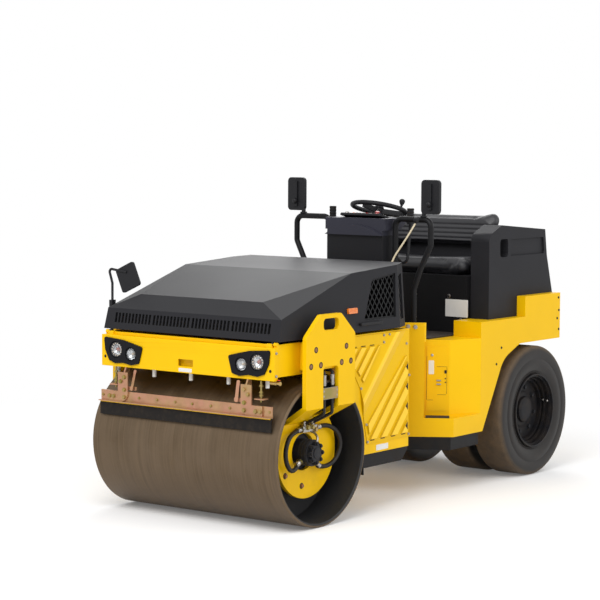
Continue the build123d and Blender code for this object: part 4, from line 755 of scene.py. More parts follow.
def simulate_pad(shape, name, voxel, cap):
    """Puff a closed shape up with cloth pressure: remeshed, run for PAD_FRAMES frames, and each
    point held within cap of where it started. Returns points and faces."""
    start = shape.piece(name + "_start", "rear_frame", ["vinyl"])
    remesh = start.modifiers.new("Remesh", "REMESH")
    remesh.mode = "VOXEL"
    remesh.voxel_size = voxel
    depsgraph = bpy.context.evaluated_depsgraph_get()
    mesh = bpy.data.meshes.new_from_object(start.evaluated_get(depsgraph))
    bpy.data.objects.remove(start)
    before = np.empty(len(mesh.vertices) * 3)
    mesh.vertices.foreach_get("co", before)
    before = before.reshape(-1, 3)
    after = before
    pad = bpy.data.objects.new(name + "_cloth", mesh)
    bpy.context.scene.collection.objects.link(pad)
    cloth = pad.modifiers.new("Cloth", "CLOTH")
    cloth.settings.use_pressure = True
    cloth.settings.uniform_pressure_force = PAD_PRESSURE
    cloth.settings.effector_weights.gravity = 0.0
    for number in range(1, PAD_FRAMES + 1):
        bpy.context.scene.frame_set(number)
    depsgraph = bpy.context.evaluated_depsgraph_get()
    swollen = pad.evaluated_get(depsgraph).to_mesh()
    after = np.empty(len(swollen.vertices) * 3)
    swollen.vertices.foreach_get("co", after)
    after = after.reshape(-1, 3)
    pad.evaluated_get(depsgraph).to_mesh_clear()
    bpy.data.objects.remove(pad)
    bpy.context.scene.frame_set(1)
    move = after - before
    length = np.linalg.norm(move, axis=1, keepdims=True)
    held = before + move * np.minimum(1.0, cap / np.maximum(length, 1e-9))
    faces = np.empty(len(mesh.loops), np.int32)
    mesh.loops.foreach_get("vertex_index", faces)
    bpy.data.meshes.remove(mesh)
    return held, faces.reshape(-1, 4)


def pad_block(centre, size, edge, corner, turn=0, rings=9):
    """Closed pad: an outline with rounded corners, drawn in towards both faces along a quarter
    circle. Size is given in the pad's own plane and then across it; turn moves its axes on."""
    half = np.asarray(size) / 2
    rows = []
    for angle in np.linspace(-90, 90, 2 * rings):
        lean = math.radians(angle)
        inset = edge * (1 - math.cos(lean))
        height = math.copysign(half[2] - edge, angle) + edge * math.sin(lean)
        ring = rounded_rectangle(half[0] - inset, half[1] - inset, max(corner - inset, 0.004), 8)
        rows.append(np.column_stack([ring, np.full(len(ring), height)]))
    return Shape().closed(np.roll(np.array(rows), turn, -1) + np.asarray(centre))


def smooth_path(knots, count):
    """Points of a curve through knots: each coordinate is a cubic in the distance along them,
    whose slope at a knot is that of the line between its neighbours."""
    knots = np.asarray(knots, float)
    step = np.linalg.norm(np.diff(knots, axis=0), axis=1)
    at = np.concatenate([[0.0], np.cumsum(step)])
    slope = np.gradient(knots, at, axis=0)
    place = np.linspace(0.0, at[-1], count)
    span = np.clip(np.searchsorted(at, place, side="right") - 1, 0, len(step) - 1)
    wide = step[span][:, None]
    share = ((place - at[span])[:, None]) / wide
    return ((2 * share ** 3 - 3 * share ** 2 + 1) * knots[span]
            + (share ** 3 - 2 * share ** 2 + share) * wide * slope[span]
            + (3 * share ** 2 - 2 * share ** 3) * knots[span + 1]
            + (share ** 3 - share ** 2) * wide * slope[span + 1])


def colour(name, description, *default):
    """A colour that a user may change."""
    return bpy.props.FloatVectorProperty(name=name, description=description, subtype="COLOR",
                                         default=default)


def measure(name, description, default, unit="LENGTH"):
    """A size or strength that a user may change."""
    return bpy.props.FloatProperty(name=name, description=description, default=default,
                                   unit=unit)


class RollerColours(bpy.types.PropertyGroup):
    """Colours of the roller's finishes."""

    yellow: colour("Yellow", "Main coat of both frames", 0.90, 0.535, 0.002)
    black: colour("Black", "Skirts, rails and hubs", 0.010, 0.010, 0.011)
    hood: colour("Hood", "Hood and seat shell", 0.019, 0.019, 0.022)
    # painted sky reflection on the hood's faces that look up
    painted_sheen: colour("Hood top", "Hood faces that look up", 0.042, 0.042, 0.044)
    rim: colour("Rims", "Wheel rims", 0.012, 0.012, 0.014)
    moulding: colour("Moulding", "Console, mirrors and bezels", 0.009, 0.009, 0.011)
    panel: colour("Console panel", "Upper part of the console", 0.032, 0.032, 0.046)
    drum: colour("Drum", "Rolled steel of the drum", 0.140, 0.098, 0.060)
    steel: colour("Steel", "Bright steel fittings", 0.42, 0.40, 0.38)
    zinc: colour("Zinc", "Passivated brackets", 0.50, 0.33, 0.15)
    zinc_pink: colour("Zinc sheen", "Pink shift of the passivation", 0.52, 0.26, 0.17)
    zinc_olive: colour("Zinc on the clamps", "Olive shift of the passivation", 0.30, 0.25, 0.07)
    casting: colour("Casting", "Engine and motors", 0.012, 0.012, 0.014)
    brass: colour("Brass", "Drain valve", 0.60, 0.42, 0.16)
    copper: colour("Browned bolts", "Bolt heads in the fork plates", 0.38, 0.19, 0.10)
    pale: colour("Pale", "Nozzles and blank plates", 0.74, 0.73, 0.70)
    cream: colour("Cream", "Lever rod", 0.78, 0.68, 0.48)
    lens: colour("Lens", "Headlamp bowls and mirror glass", 0.8, 0.82, 0.84)
    vinyl: colour("Vinyl", "Seat cover", 0.026, 0.026, 0.030)
    rubber: colour("Rubber", "Tyres, hoses and strips", 0.014, 0.012, 0.011)
    dust: colour("Dust", "Road dust", 0.15, 0.102, 0.060)
    red: colour("Red", "Tail lamp plastic", 0.5, 0.012, 0.01)
    amber: colour("Amber", "Side lamp plastic", 0.9, 0.2, 0.01)
    bulb: colour("Bulb", "Bulb in the outer headlamps", 0.32, 0.07, 0.03)


class RollerSizes(bpy.types.PropertyGroup):
    """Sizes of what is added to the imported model."""

    bolt: measure("Bolt", "Thread size of the panel bolts", 0.008)
    cushion_round: measure("Cushion edge", "Rounding of the seat pads' edges", 0.030)
    cushion_corner: measure("Cushion corner", "Rounding of the seat pads' corners", 0.055)
    pad_voxel: measure("Pad cell", "Cell of the remeshed pads", 0.006)
    pad_swell: measure("Pad swell", "Most that a pad's point may move", 0.022)
    channel_depth: measure("Channel depth", "Depth of the sewn channels", 0.006)
    key_light: measure("Key light", "Power of the large lamp overhead", 340.0, "POWER")
    sky: measure("Sky", "Strength of the soft light from all round", 0.66, "NONE")


class RollerFinishes(bpy.types.Operator):
    """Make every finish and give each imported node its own"""

    bl_idname = "roller.finishes"
    bl_label = "Finishes"

    def execute(self, context):
        for key, made in every_finish(context.scene.roller_colours).items():
            FINISHES[key] = made.material
        for key, nodes in NODE_FINISHES.items():
            for name in nodes:
                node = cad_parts[name]
                node.data.materials.clear()
                node.data.materials.append(FINISHES[key])
        for name, width in EASED.items():
            self.ease(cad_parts[name], width)
        return {"FINISHED"}

    def ease(self, node, width):
        """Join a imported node's loose triangles and round its sharp edges a little."""
        weld = node.modifiers.new("Weld", "WELD")
        weld.merge_threshold = 0.00002
        bevel = node.modifiers.new("Bevel", "BEVEL")
        bevel.width = width
        bevel.segments = 2
        bevel.limit_method = "ANGLE"
        bevel.angle_limit = math.radians(28.0)


class RollerTyres(bpy.types.Operator):
    """Twin smooth tyres a side, with rounded shoulders and ringed sidewalls"""

    bl_idname = "roller.tyres"
    bl_label = "Tyres"

    def execute(self, context):
        shoulder, bead, half = 0.024, 0.2263, 0.1125
        for side in ("left", "right"):
            low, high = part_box("tyres_" + side)
            axle = (low + high) / 2
            radius = (high.z - low.z) / 2
            sidewall = np.array((bead, half)) + (
                # beyond the bead, out from the tyre's flank
                (0.000, -0.016), (0.012, -0.010), (0.016, -0.014), (0.030, -0.006),
                (0.058, -0.001), (0.086, 0.000), (0.090, -0.003), (0.096, -0.003),
                (0.100, -0.001))
            bend = arc((radius - shoulder, half - 0.004 - shoulder), shoulder, 78, 2, 9)
            section = np.concatenate([sidewall, [(radius - shoulder - 0.012, half - 0.003)], bend,
                                      [(radius, 0.0)]])
            section = np.concatenate([section, section[::-1][1:] * (1, -1)])
            shape = Shape()
            for middle in (low.y + half, high.y - half):
                shape.surface(turned_section(section + (0, middle), (axle.x, 0, axle.z), 160),
                              round_rows=True)
            piece = shape.piece("tyre_pair_" + side, side + "_wheels", ["tyre"], "tread", 50.0)
            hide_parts("tyres_" + side)
        return {"FINISHED"}


class RollerSeat(bpy.types.Operator):
    """Bench cushion and backrest with its sewn channels"""

    bl_idname = "roller.seat"
    bl_label = "Seat"

    def execute(self, context):
        sizes = context.scene.roller_sizes
        self.cushion(sizes)
        self.backrest(sizes)
        return {"FINISHED"}

    def cushion(self, sizes):
        """Crowned bench pad, a little dished where it is sat on."""
        low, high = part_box("seat_cushion")
        swell, dish = sizes.pad_swell, 0.010
        size = high - low - Vector((2 * swell, 2 * swell, 2 * swell))
        block = pad_block((low + high) / 2, size, min(sizes.cushion_round, 0.45 * size.z),
                          sizes.cushion_corner)
        points, faces = simulate_pad(block, "seat_cushion_pad", sizes.pad_voxel, swell)
        across = (points[:, 1] - low.y) / (high.y - low.y)
        top = np.clip((points[:, 2] - low.z) / (high.z - low.z), 0, 1) ** 2
        points[:, 2] -= dish * top * np.sin(np.pi * across) ** 2
        points[:, 2] = np.maximum(points[:, 2], low.z)
        self.finish("seat_cushion_pad", points, faces, "seat_cushion", 0.85)

    def backrest(self, sizes):
        """Leaning pad with channels sewn across its lower part."""
        low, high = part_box("seat_backrest")
        lean, seam, first, last, channels = 0.045, 0.006, 0.025, 0.165, 6
        height = high.z - low.z
        swell = sizes.pad_swell
        wall = high.x - low.x - lean
        centre = (low + high) / 2
        size = np.array((high.y - low.y, height, wall)) - 2 * swell
        block = pad_block(centre, size, min(sizes.cushion_round, 0.45 * size[2]),
                          sizes.cushion_corner, 1)
        points, faces = simulate_pad(block, "seat_back_pad", sizes.pad_voxel, swell)
        front = np.clip((points[:, 0] - centre.x) / (wall / 2), 0, 1) ** 0.5
        for level in np.linspace(low.z + first, low.z + last, channels):
            groove = np.exp(-((points[:, 2] - level) / seam) ** 2)
            points[:, 0] -= sizes.channel_depth * groove * front
        points[:, 0] -= lean * ((points[:, 2] - low.z) / height - 0.5)
        self.finish("seat_back_pad", points, faces, "seat_backrest", 0.85)

    def finish(self, name, points, faces, node, fill):
        """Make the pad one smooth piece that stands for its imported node."""
        piece = Shape().add(points, faces).piece(name, "rear_frame", ["vinyl"], "seat_skin", 60.0)
        smooth = piece.modifiers.new("Subdivision", "SUBSURF")
        smooth.levels = smooth.render_levels = 1
        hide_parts(node)


class RollerBolts(bpy.types.Operator):
    """Bolts of the fork plates, panels, scraper, seat base, nose, tail and rails"""

    bl_idname = "roller.bolts"
    bl_label = "Bolts"

    def execute(self, context):
        size = context.scene.roller_sizes.bolt
        large, small = bolt_shape(size * 1.35), bolt_shape(size * 0.85)
        flat, low = bolt_shape(size * 1.5, 0.045), bolt_shape(size * 0.85, 0.3)
        button = button_shape(size * 0.8)
        collar = Shape().turned([(0.0168, 0), (0.0168, 0.0001), (0.0155, 0.0002)], ORIGIN, ABOVE)
        flange = Shape().turned([(0.045, 0), (0.045, 0.006), (0.043, 0.008), (0.020, 0.008),
                                 (0.019, 0.016), (0.0175, 0.018)], ORIGIN, ABOVE, steps=28)
        fork = spots(((102, 683, 961), (-168, 683, 963), (145, 683, 876), (60, 683, 878),
                      (-126, 683, 879), (-209, 683, 880)))
        lobe = spots(((13, 523, 212), (157, 523, 283), (-132, 523, 312)))
        panel = spots(((-629, 604, 981), (-681, 604, 982), (-629, 604, 942), (-851, 604, 918),
                       (-880, 604, 736), (-878, 604, 400), (-479, 604, 400), (-466, 604, 497),
                       (-415, 604, 702)))
        clamp = spots(((-88, 680.2, 735), (-88, 680.2, 708), (28, 680.2, 735), (28, 680.2, 708)))
        bracket = spots(((380.2, 422, 760), (380.2, 448, 735), (380.2, 422, 690),
                         (380.2, 500, 650), (380.2, 530, 650), (380.2, 422, 650)))
        bar = spots([(372.2, left, 652) for left in (60, 190, 320, 585)])
        tail = rear_spots(((-1418, 620, 1080), (-1425, 620, 1000), (-1405, 620, 950),
                           (-1425, 620, 880), (-745, 620, 815), (-690, 620, 720)))
        back = rear_spots(((-1440, 580, 1080), (-1440, 320, 1080), (-1440, 580, 850),
                           (-1440, 320, 850)))
        rails = rear_spots(((-160, 375, 890), (-160, 240, 890)))
        feet = rails[:, None] + circle(4, 0.033, 2, math.pi / 4) + (0, 0, 0.008)
        plan = (
            # piece, body, finish, slot, and rows of a head, its places and the way it looks
            # thin dark discs of painted shade round the fork bolts' heads
            ("fork_bolt_shade", "front_frame", "dark", None,
             ((collar, fork, OUT), (collar, lobe, OUT))),
            ("fork_bolts", "front_frame", "copper", "zinc",
             ((flat, fork, OUT), (large, lobe + (0, 0.001, 0), OUT))),
            ("panel_bolts", "front_frame", "steel", "bare_steel",
             ((small, panel, OUT), (small, spots(((345, 606, 958), (345, 606, 838))), OUT),
              (low, clamp, OUT))),
            ("lamp_panel_screws", "front_frame", "moulding", None,
             ((button, spots(((360, 580, 864),)), AHEAD),)),
            ("scraper_bolts", "front_frame", "olive", "zinc",
             ((large, bracket, AHEAD), (small, bar, AHEAD))),
            ("platform_bolts", "rear_frame", "steel", "bare_steel",
             ((large, rear_spots(((-73, 395, 978), (-97, 431, 975))), NICHE_OUT),
              (large, rear_spots(((-650, 301, 1118), (-650, 388, 975))), AHEAD),
              (small, rear_spots(((-650, 60, 1118), (-650, 60, 975))), AHEAD))),
            ("tail_screws", "rear_frame", "moulding", None,
             ((button, tail, OUT), (button, back, BEHIND))),
            ("rail_flanges", "rear_frame", "black", None, ((flange, rails, ABOVE),)),
            ("rail_bolts", "rear_frame", "steel", None,
             ((small, feet.reshape(-1, 3), ABOVE),)),
        )
        for name, body, finish, slot, rows in plan:
            shape = Shape()
            for head, places, way in rows:
                scatter(shape, head, places, way)
            shape.piece(name, body, [finish], slot)
        return {"FINISHED"}


class RollerLamps(bpy.types.Operator):
    """Headlamps with bowls, bulbs, diode rings and clear covers; tail lamp frames and covers; ribs
    of the side lamps
    """

    bl_idname = "roller.lamps"
    bl_label = "Lamps"

    def execute(self, context):
        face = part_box("headlamps")[1].x
        lamps = (
            # left, up, radius, bowl's and bulb's shares, bulb's mark, diodes round the bowl
            (0.388, 0.887, 0.038, 0.80, 0.20, 3, 0),
            (0.496, 0.906, 0.046, 0.62, 0.42, 1, 14),
        )
        diode = Shape().turned([(0.0046, -0.003), (0.0046, 0.0), (0.0034, 0.0022),
                                (0.001, 0.003)], ORIGIN, ABOVE, 3, 10)
        shape = Shape()
        for side in SIDES:
            for left, up, radius, bowl_share, bulb_share, mark, diodes in lamps:
                centre = (face, side * left, up)
                bowl, rim = radius * bowl_share, radius - 0.0002
                lip = (bowl + 0.002, -0.005)
                shape.turned([(0.004, -0.030), (rim, -0.030), (rim, 0.0), (rim - 0.003, 0.002),
                              (rim - 0.005, 0.0), lip], centre, AHEAD, 4, 40, False)
                shape.turned([lip, (bowl, -0.004), (bowl * 0.93, -0.009), (bowl * 0.72, -0.016),
                              (bowl * 0.45, -0.021), (bowl * 0.14, -0.023)], centre, AHEAD, 0,
                             40, False)
                thick = bowl * bulb_share
                shape.turned([(thick, -0.026), (thick, -0.016), (thick * 0.75, -0.010),
                              (thick * 0.25, -0.008)], centre, AHEAD, mark, 20)
                cover = radius - 0.0055
                dome = [(cover * share, 0.0035 * math.sqrt(1 - share * share))
                        for share in (1.0, 0.9, 0.7, 0.45, 0.02)]
                shape.turned([(cover * 0.98, -0.0012), *dome], centre, AHEAD, 2, 40)
                if diodes:
                    places = circle(diodes, (radius - 0.006 + bowl) / 2, 0) - (0.0045, 0, 0)
                    shape.copies(diode, facing(AHEAD, diodes), places + centre)
        piece = shape.piece("headlamp_units", "front_frame",
                            ["reflector", "bulb", "glass", "glow", "gloss"], "lens", 40.0)
        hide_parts("headlamps")
        self.tail()
        self.sides()
        return {"FINISHED"}

    def tail(self):
        """Frames and divided covers of the tail lamps, and a reflector beside each."""
        low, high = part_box("tail_lamps")
        covers, frames = Shape(), Shape()
        for side in SIDES:
            for up, half, mark in ((0.870, 0.018, 0), (0.904, 0.012, 1), (0.934, 0.014, 1)):
                covers.plate((0.029, half, 0.006, 4), (low.x + 0.001, side * 0.5, up), BEHIND,
                             0.007, 0.002, mark)
            frames.plate((0.040, 0.060, 0.010, 5), (high.x - 0.0005, side * 0.5, 0.9), BEHIND,
                         0.012, 0.003)
            frames.turned([(0.030, 0), (0.030, 0.006), (0.027, 0.008)],
                          (high.x, side * 0.38, 0.9), BEHIND, 1, 28)
        covers.piece("tail_lamp_covers", "rear_frame", ["red", "amber"])
        frames.piece("tail_lamp_frames", "rear_frame", ["moulding", "red"])

    def sides(self):
        """Ribs across the small lamps on the hood's flanks."""
        low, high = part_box("side_lamps")
        middle = (low + high) / 2
        shape = Shape()
        for side in SIDES:
            for shift in np.linspace(-0.030, 0.030, 7):
                shape.plate((0.0016, 0.009, 0.0012, 3),
                            (middle.x + shift, side * (high.y - 0.0013), middle.z),
                            (0, side, 0), 0.0012, 0.0004)
        shape.piece("side_lamp_ribs", "hood", ["amber"])


class RollerHydraulics(bpy.types.Operator):
    """Unions, ferrules and clamp of the drum motors' hoses"""

    bl_idname = "roller.hydraulics"
    bl_label = "Hose unions"

    def execute(self, context):
        face, axle = 523, DRUM_AXIS.z * 1000
        ferrule = [(0.0095, -0.004), (0.0150, -0.003), (0.0158, 0.0), (0.0158, 0.020),
                   (0.0150, 0.023), (0.0160, 0.025), (0.0160, 0.030), (0.0130, 0.032)]
        stub = [(0.0145, 0), (0.0150, 0.004), (0.0150, 0.012), (0.0120, 0.014), (0.0120, 0.026),
                (0.0098, 0.028)]
        sleeve = [(0.0118, 0), (0.0128, 0.001), (0.0128, 0.006), (0.0118, 0.007)]
        nut, union = bolt_shape(0.0165), bolt_shape(0.012)
        pipe = ((-30, 548, 508), (-38, 574, 494), (-34, 592, 474), (-26, 596, 456),
                (-20, 592, 440))
        ends = (
            # ahead of the axle, outside the lobe, above the axle; direction along the hose
            ((-82, 22, 127), (-1, 0.03, -0.02)),
            ((-72, 34, -66), (-1, 0, -0.75)),
            ((52, 22, 127), (1, 0.02, -0.05)),
            ((80, 34, -44), (1, 0, -0.5)),
        )
        steel, olive, clamp = Shape(), Shape(), Shape()
        for side in SIDES:
            out = (0, side, 0)
            for (ahead, beyond, up), (x, y, z) in ends:
                origin = spot(ahead, side * (face + beyond), axle + up)
                steel.turned(ferrule, origin, (x, side * y, z), 0, 18)
                olive.copies(nut, facing((-x, -side * y, -z), 1), [origin])
            for ahead, up in ((-32, 529), (8, 529), (-60, 513)):
                olive.copies(union, facing(out, 1), [spot(ahead, side * (face + 36), up)])
            for ahead in (20, -50):
                steel.turned(stub, spot(ahead, side * (face + 18), 541), (0, side * 0.35, 1), 0,
                             18)
            for ahead, up in ((-40, -50), (46, -30)):
                steel.turned([(0.0135, -0.012), (0.0135, 0.010), (0.011, 0.014)],
                             spot(ahead, side * (face + 34), axle + up), out, 0, 6)
            bend = smooth_path(spots(pipe) * (1, side, 1), 30)
            steel.tube(bend, 0.0065, 0, 12, AHEAD)
            clamp.plate((0.066, 0.029, 0.004, 4), spot(-30, side * 680, 721), out, 0.002, 0.001)
            for ahead in (4, -68):
                for up in (770, 812):
                    clamp.turned(sleeve, spot(ahead, side * 663, up), ABOVE, 1, 20)
        steel.piece("hose_ferrules", "front_frame", ["steel"], "bare_steel")
        olive.piece("hose_nuts", "front_frame", ["olive"], "zinc")
        clamp.piece("hose_clamp_plates", "front_frame", ["olive", "steel"], "zinc")
        self.motor()
        return {"FINISHED"}

    def motor(self):
        """Ribs, screws and drain plug on the drum motors' outer caps."""
        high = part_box("drum_motor_left")[1]
        ribs, heads = Shape(), Shape()
        for side in SIDES:
            out = (0, side, 0)
            centre = (DRUM_AXIS.x, side * high.y, DRUM_AXIS.z)
            ribs.turned([(0.030, -0.001), (0.030, 0.004), (0.022, 0.008), (0.010, 0.009)],
                        centre, out)
            for depth in (0.030, 0.052, 0.074):
                ribs.turned([(0.068, -0.003), (0.0725, -0.002), (0.0725, 0.002), (0.068, 0.003)],
                            np.subtract(centre, (0, side * depth, 0)), out, 0, 36)
            heads.copies(bolt_shape(0.0085), facing(out, 8), circle(8, 0.050, 1) + centre)
        ribs.piece("motor_ribs", "front_frame", ["iron"], "engine_iron")
        heads.piece("motor_screws", "front_frame", ["moulding"])


class RollerScraper(bpy.types.Operator):
    """Adjusting rods, stays, lip and drain valve by the front scraper"""

    bl_idname = "roller.scraper"
    bl_label = "Scraper gear"

    def execute(self, context):
        rods, stays, strip, valve = Shape(), Shape(), Shape(), Shape()
        for side in SIDES:
            foot = spot(348, side * 510, 716)
            rods.turned([(0.0055, -0.02), (0.0055, 0.092)], foot, ABOVE, 0, 12)
            rods.copies(bolt_shape(0.0105), facing(ABOVE, 3),
                        foot + np.outer((0.012, 0.028, 0.062), UP))
            stays.plate((0.024, 0.030, 0.004, 3), foot - (0, 0, 0.006), FLAT, 0.006, 0.001)
            stays.plate((0.010, 0.058, 0.006, 4), spot(366, side * 366, 745),
                        axes_of((1, side * 0.2, 0.25)), 0.004, 0.001)
            stays.plate((0.030, 0.010, 0.004, 4), spot(364, side * 374, 700), AHEAD, 0.005,
                        0.001)
        rods.piece("scraper_rods", "front_frame", ["olive"], "zinc")
        stays.piece("scraper_stays", "front_frame", ["zinc"], "zinc")
        low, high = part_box("scraper_rubber")
        strip.plate(((high.y - low.y) / 2 - 0.002, 0.0025, 0.001, 3),
                    (high.x, 0, high.z - 0.0035), AHEAD, 0.002, 0.0006)
        strip.piece("scraper_strip", "front_frame", ["yellow"], "yellow_paint")
        body = spot(334, 586, 800)
        valve.turned([(0.011, -0.022), (0.011, 0.012), (0.008, 0.014), (0.008, 0.030),
                      (0.011, 0.032), (0.011, 0.040)], body, OUT, 0, 16)
        valve.turned([(0.006, 0), (0.006, 0.016)], body, ABOVE, 0, 12)
        valve.plate((0.007, 0.026, 0.006, 5), body + (0, 0.012, 0.016), FLAT, 0.004, 0.001, 1)
        valve.piece("drain_valve", "front_frame", ["brass", "red"])
        return {"FINISHED"}


class RollerPlates(bpy.types.Operator):
    """Blank plates and tags, the lock and handles of the service doors"""

    bl_idname = "roller.plates"
    bl_label = "Plates and doors"

    def execute(self, context):
        front, rear = Shape(), Shape()
        front.plate((0.046, 0.010, 0.004, 4), spot(360, 0, 828), AHEAD, 0.0012, 0.0004)
        for side in SIDES:
            front.plate((0.058, 0.016, 0.003, 4), spot(-626, side * 600, 356), (0, side, 0),
                        0.0014, 0.0004)
        front.piece("front_plates", "front_frame", ["plate"])
        rear.plate((0.081, 0.053, 0.003, 4), rear_spot(-650, 357, 1046), AHEAD, 0.0016, 0.0005)
        rear.plate((0.120, 0.055, 0.006, 5), rear_spot(-1440, 0, 960), BEHIND, 0.003, 0.001)
        self.door(rear)
        rear.piece("rear_plates", "rear_frame", ["plate", "steel", "dark"])
        self.opening_shade()
        return {"FINISHED"}

    def door(self, shape):
        """Tag, lock, two pull handles and seams on each niche's inner wall."""
        out = np.array(NICHE_OUT)
        along = np.array((-out[1], out[0], 0.0))
        start = rear_spot(-218.6, 413.5, 0)
        plates = (
            # run, up, half width, half height, corner, steps, wall, edge, mark
            (0.042, 0.728, 0.016, 0.041, 0.004, 4, 0.0012, 0.0004, 0),
            (0.126, 0.702, 0.006, 0.010, 0.003, 4, 0.004, 0.001, 2),
            (0.086, 0.650, 0.014, 0.0042, 0.003, 4, 0.007, 0.002, 1),
            (0.086, 0.628, 0.014, 0.0042, 0.003, 4, 0.007, 0.002, 1),
            (0.104, 0.732, 0.030, 0.0009, 0.0007, 2, 0.0004, 0.0001, 2),
            (0.134, 0.650, 0.0009, 0.080, 0.0007, 2, 0.0004, 0.0001, 2),
            (0.104, 0.566, 0.026, 0.0009, 0.0007, 2, 0.0004, 0.0001, 2),
            (0.036, 0.534, 0.018, 0.0009, 0.0007, 2, 0.0004, 0.0001, 2),
            (0.016, 0.666, 0.0009, 0.130, 0.0007, 2, 0.0004, 0.0001, 2),
        )
        for side in SIDES:
            flip = np.array((1, side, 1))

            def on(run, up):
                return (start + along * run + out * 0.0031 + UP * up) * flip

            for run, up, wide, high, corner, steps, wall, edge, mark in plates:
                shape.plate((wide, high, corner, steps), on(run, up), out * flip, wall, edge,
                            mark)
            shape.turned([(0.008, 0), (0.008, 0.002), (0.005, 0.004)], on(0.046, 0.800),
                         out * flip, 1, 16)
            for up in (0.662, 0.640):
                shape.turned([(0.004, 0), (0.004, 0.002), (0.003, 0.003)], on(0.126, up),
                             out * flip, 2, 10)

    def opening_shade(self):
        """Painted shade of the louvres' openings: dark triangles at their rear ends and slits at
        their lower and upper ends, each a thin dark slab on the strip's top or on the sheet beside
        it."""
        shape = Shape()
        triangle = np.array(((-21, 4), (0, -18), (0, 27))) / 1000
        slits = (
            # behind the axle, up
            (424, 404.5), (525, 404.5), (626, 404.5), (727, 404.5), (828, 404.5),
            (352, 934), (434, 934), (516, 934),
        )
        # each slab is painted shade where the louvre opens
        for side in SIDES:
            corners = triangle if side > 0 else triangle[::-1] * (-1, 1)
            for up in (782, 670, 558, 446):
                shape.slab(corners, spot(-857, side * 613.9, up), upright_axes((0, side, 0)),
                           0.0006, 0.0002)
            for behind, up in slits:
                shape.plate((0.021, 0.0024, 0.002, 3), spot(-behind, side * 603.9, up),
                            (0, side, 0), 0.0006, 0.0002)
        shape.piece("louvre_opening_shade", "front_frame", ["dark"])


class RollerHoodTrim(bpy.types.Operator):
    """Dark sheet of painted shade behind the hood's slots, a bar across them, and the posts and
    rail that its front rests on
    """

    bl_idname = "roller.hood_trim"
    bl_label = "Hood trim"

    def execute(self, context):
        inside, posts = Shape(), Shape()
        # dark sheet as painted shade seen through the hood's slots, with the bar in front of it
        inside.plate((0.560, 0.040, 0.002, 2), spot(290, 0, 1080), AHEAD, 0.002, 0.0005)
        inside.plate((0.560, 0.0045, 0.002, 2), spot(300, 0, 1078), AHEAD, 0.004, 0.001, 1)
        inside.piece("hood_slot_shade", "hood", ["dark", "rim"])
        for side in SIDES:
            posts.plate((0.014, 0.018, 0.003, 3), spot(330, side * 556, 985), FLAT, 0.020,
                        0.002)
        posts.plate((0.585, 0.008, 0.002, 2), spot(322, 0, 993), AHEAD, 0.004, 0.001)
        posts.piece("hood_stops", "front_frame", ["yellow"], "yellow_paint")
        return {"FINISHED"}


class RollerEngine(bpy.types.Operator):
    """Rocker cover, air cleaner, belt guard, cooler fins and ribs on the engine under the hood"""

    bl_idname = "roller.engine"
    bl_label = "Engine covers"

    def execute(self, context):
        low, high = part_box("engine_block")
        middle = (low + high) / 2
        cap = [(0.016, 0), (0.016, 0.006), (0.010, 0.010), (0.004, 0.010)]
        cleaner = [(0.030, 0.0), (0.040, 0.004), (0.040, 0.040), (0.037, 0.042), (0.037, 0.048),
                   (0.040, 0.050), (0.040, 0.200), (0.037, 0.202), (0.037, 0.208),
                   (0.040, 0.210), (0.040, 0.240), (0.020, 0.246), (0.020, 0.262)]
        shape = Shape()
        shape.plate((0.150, 0.080, 0.022, 6), (middle.x, 0.080, high.z - 0.001), FLAT, 0.036,
                    0.010)
        for ahead in (-0.100, 0.0, 0.100):
            shape.turned(cap, (middle.x + ahead, 0.080, high.z + 0.034), ABOVE, 1, 20)
        shape.turned(cleaner, (middle.x - 0.130, -0.130, high.z + 0.026), AHEAD, 2, 32)
        pulleys, radii = ((0.0, -0.080), (0.120, 0.090)), (0.110, 0.055)
        run = np.subtract(pulleys[1], pulleys[0])
        way = math.degrees(math.atan2(run[1], run[0]))
        lean = math.degrees(math.acos((radii[0] - radii[1]) / np.linalg.norm(run)))
        guard = np.concatenate([arc(pulleys[0], radii[0], way + lean, way + 360 - lean, 24),
                                arc(pulleys[1], radii[1], way - lean, way + lean, 16)])
        shape.slab(guard, (high.x - 0.001, 0, middle.z), upright_axes(AHEAD), 0.030, 0.006, 3)
        for side in SIDES:
            for ahead in np.linspace(-0.170, 0.170, 8):
                shape.plate((0.005, 0.150, 0.004, 3),
                            (middle.x + ahead, side * (high.y - 0.001), middle.z - 0.040),
                            (0, side, 0), 0.009, 0.003)
        for up in np.linspace(-0.190, 0.190, 26):
            shape.plate((0.200, 0.0022, 0.002, 2), (low.x + 0.001, 0, middle.z + up), BEHIND,
                        0.010, 0.001, 1)
        shape.piece("engine_covers", "front_frame", ["iron", "steel", "moulding", "black"],
                    "engine_iron")
        return {"FINISHED"}


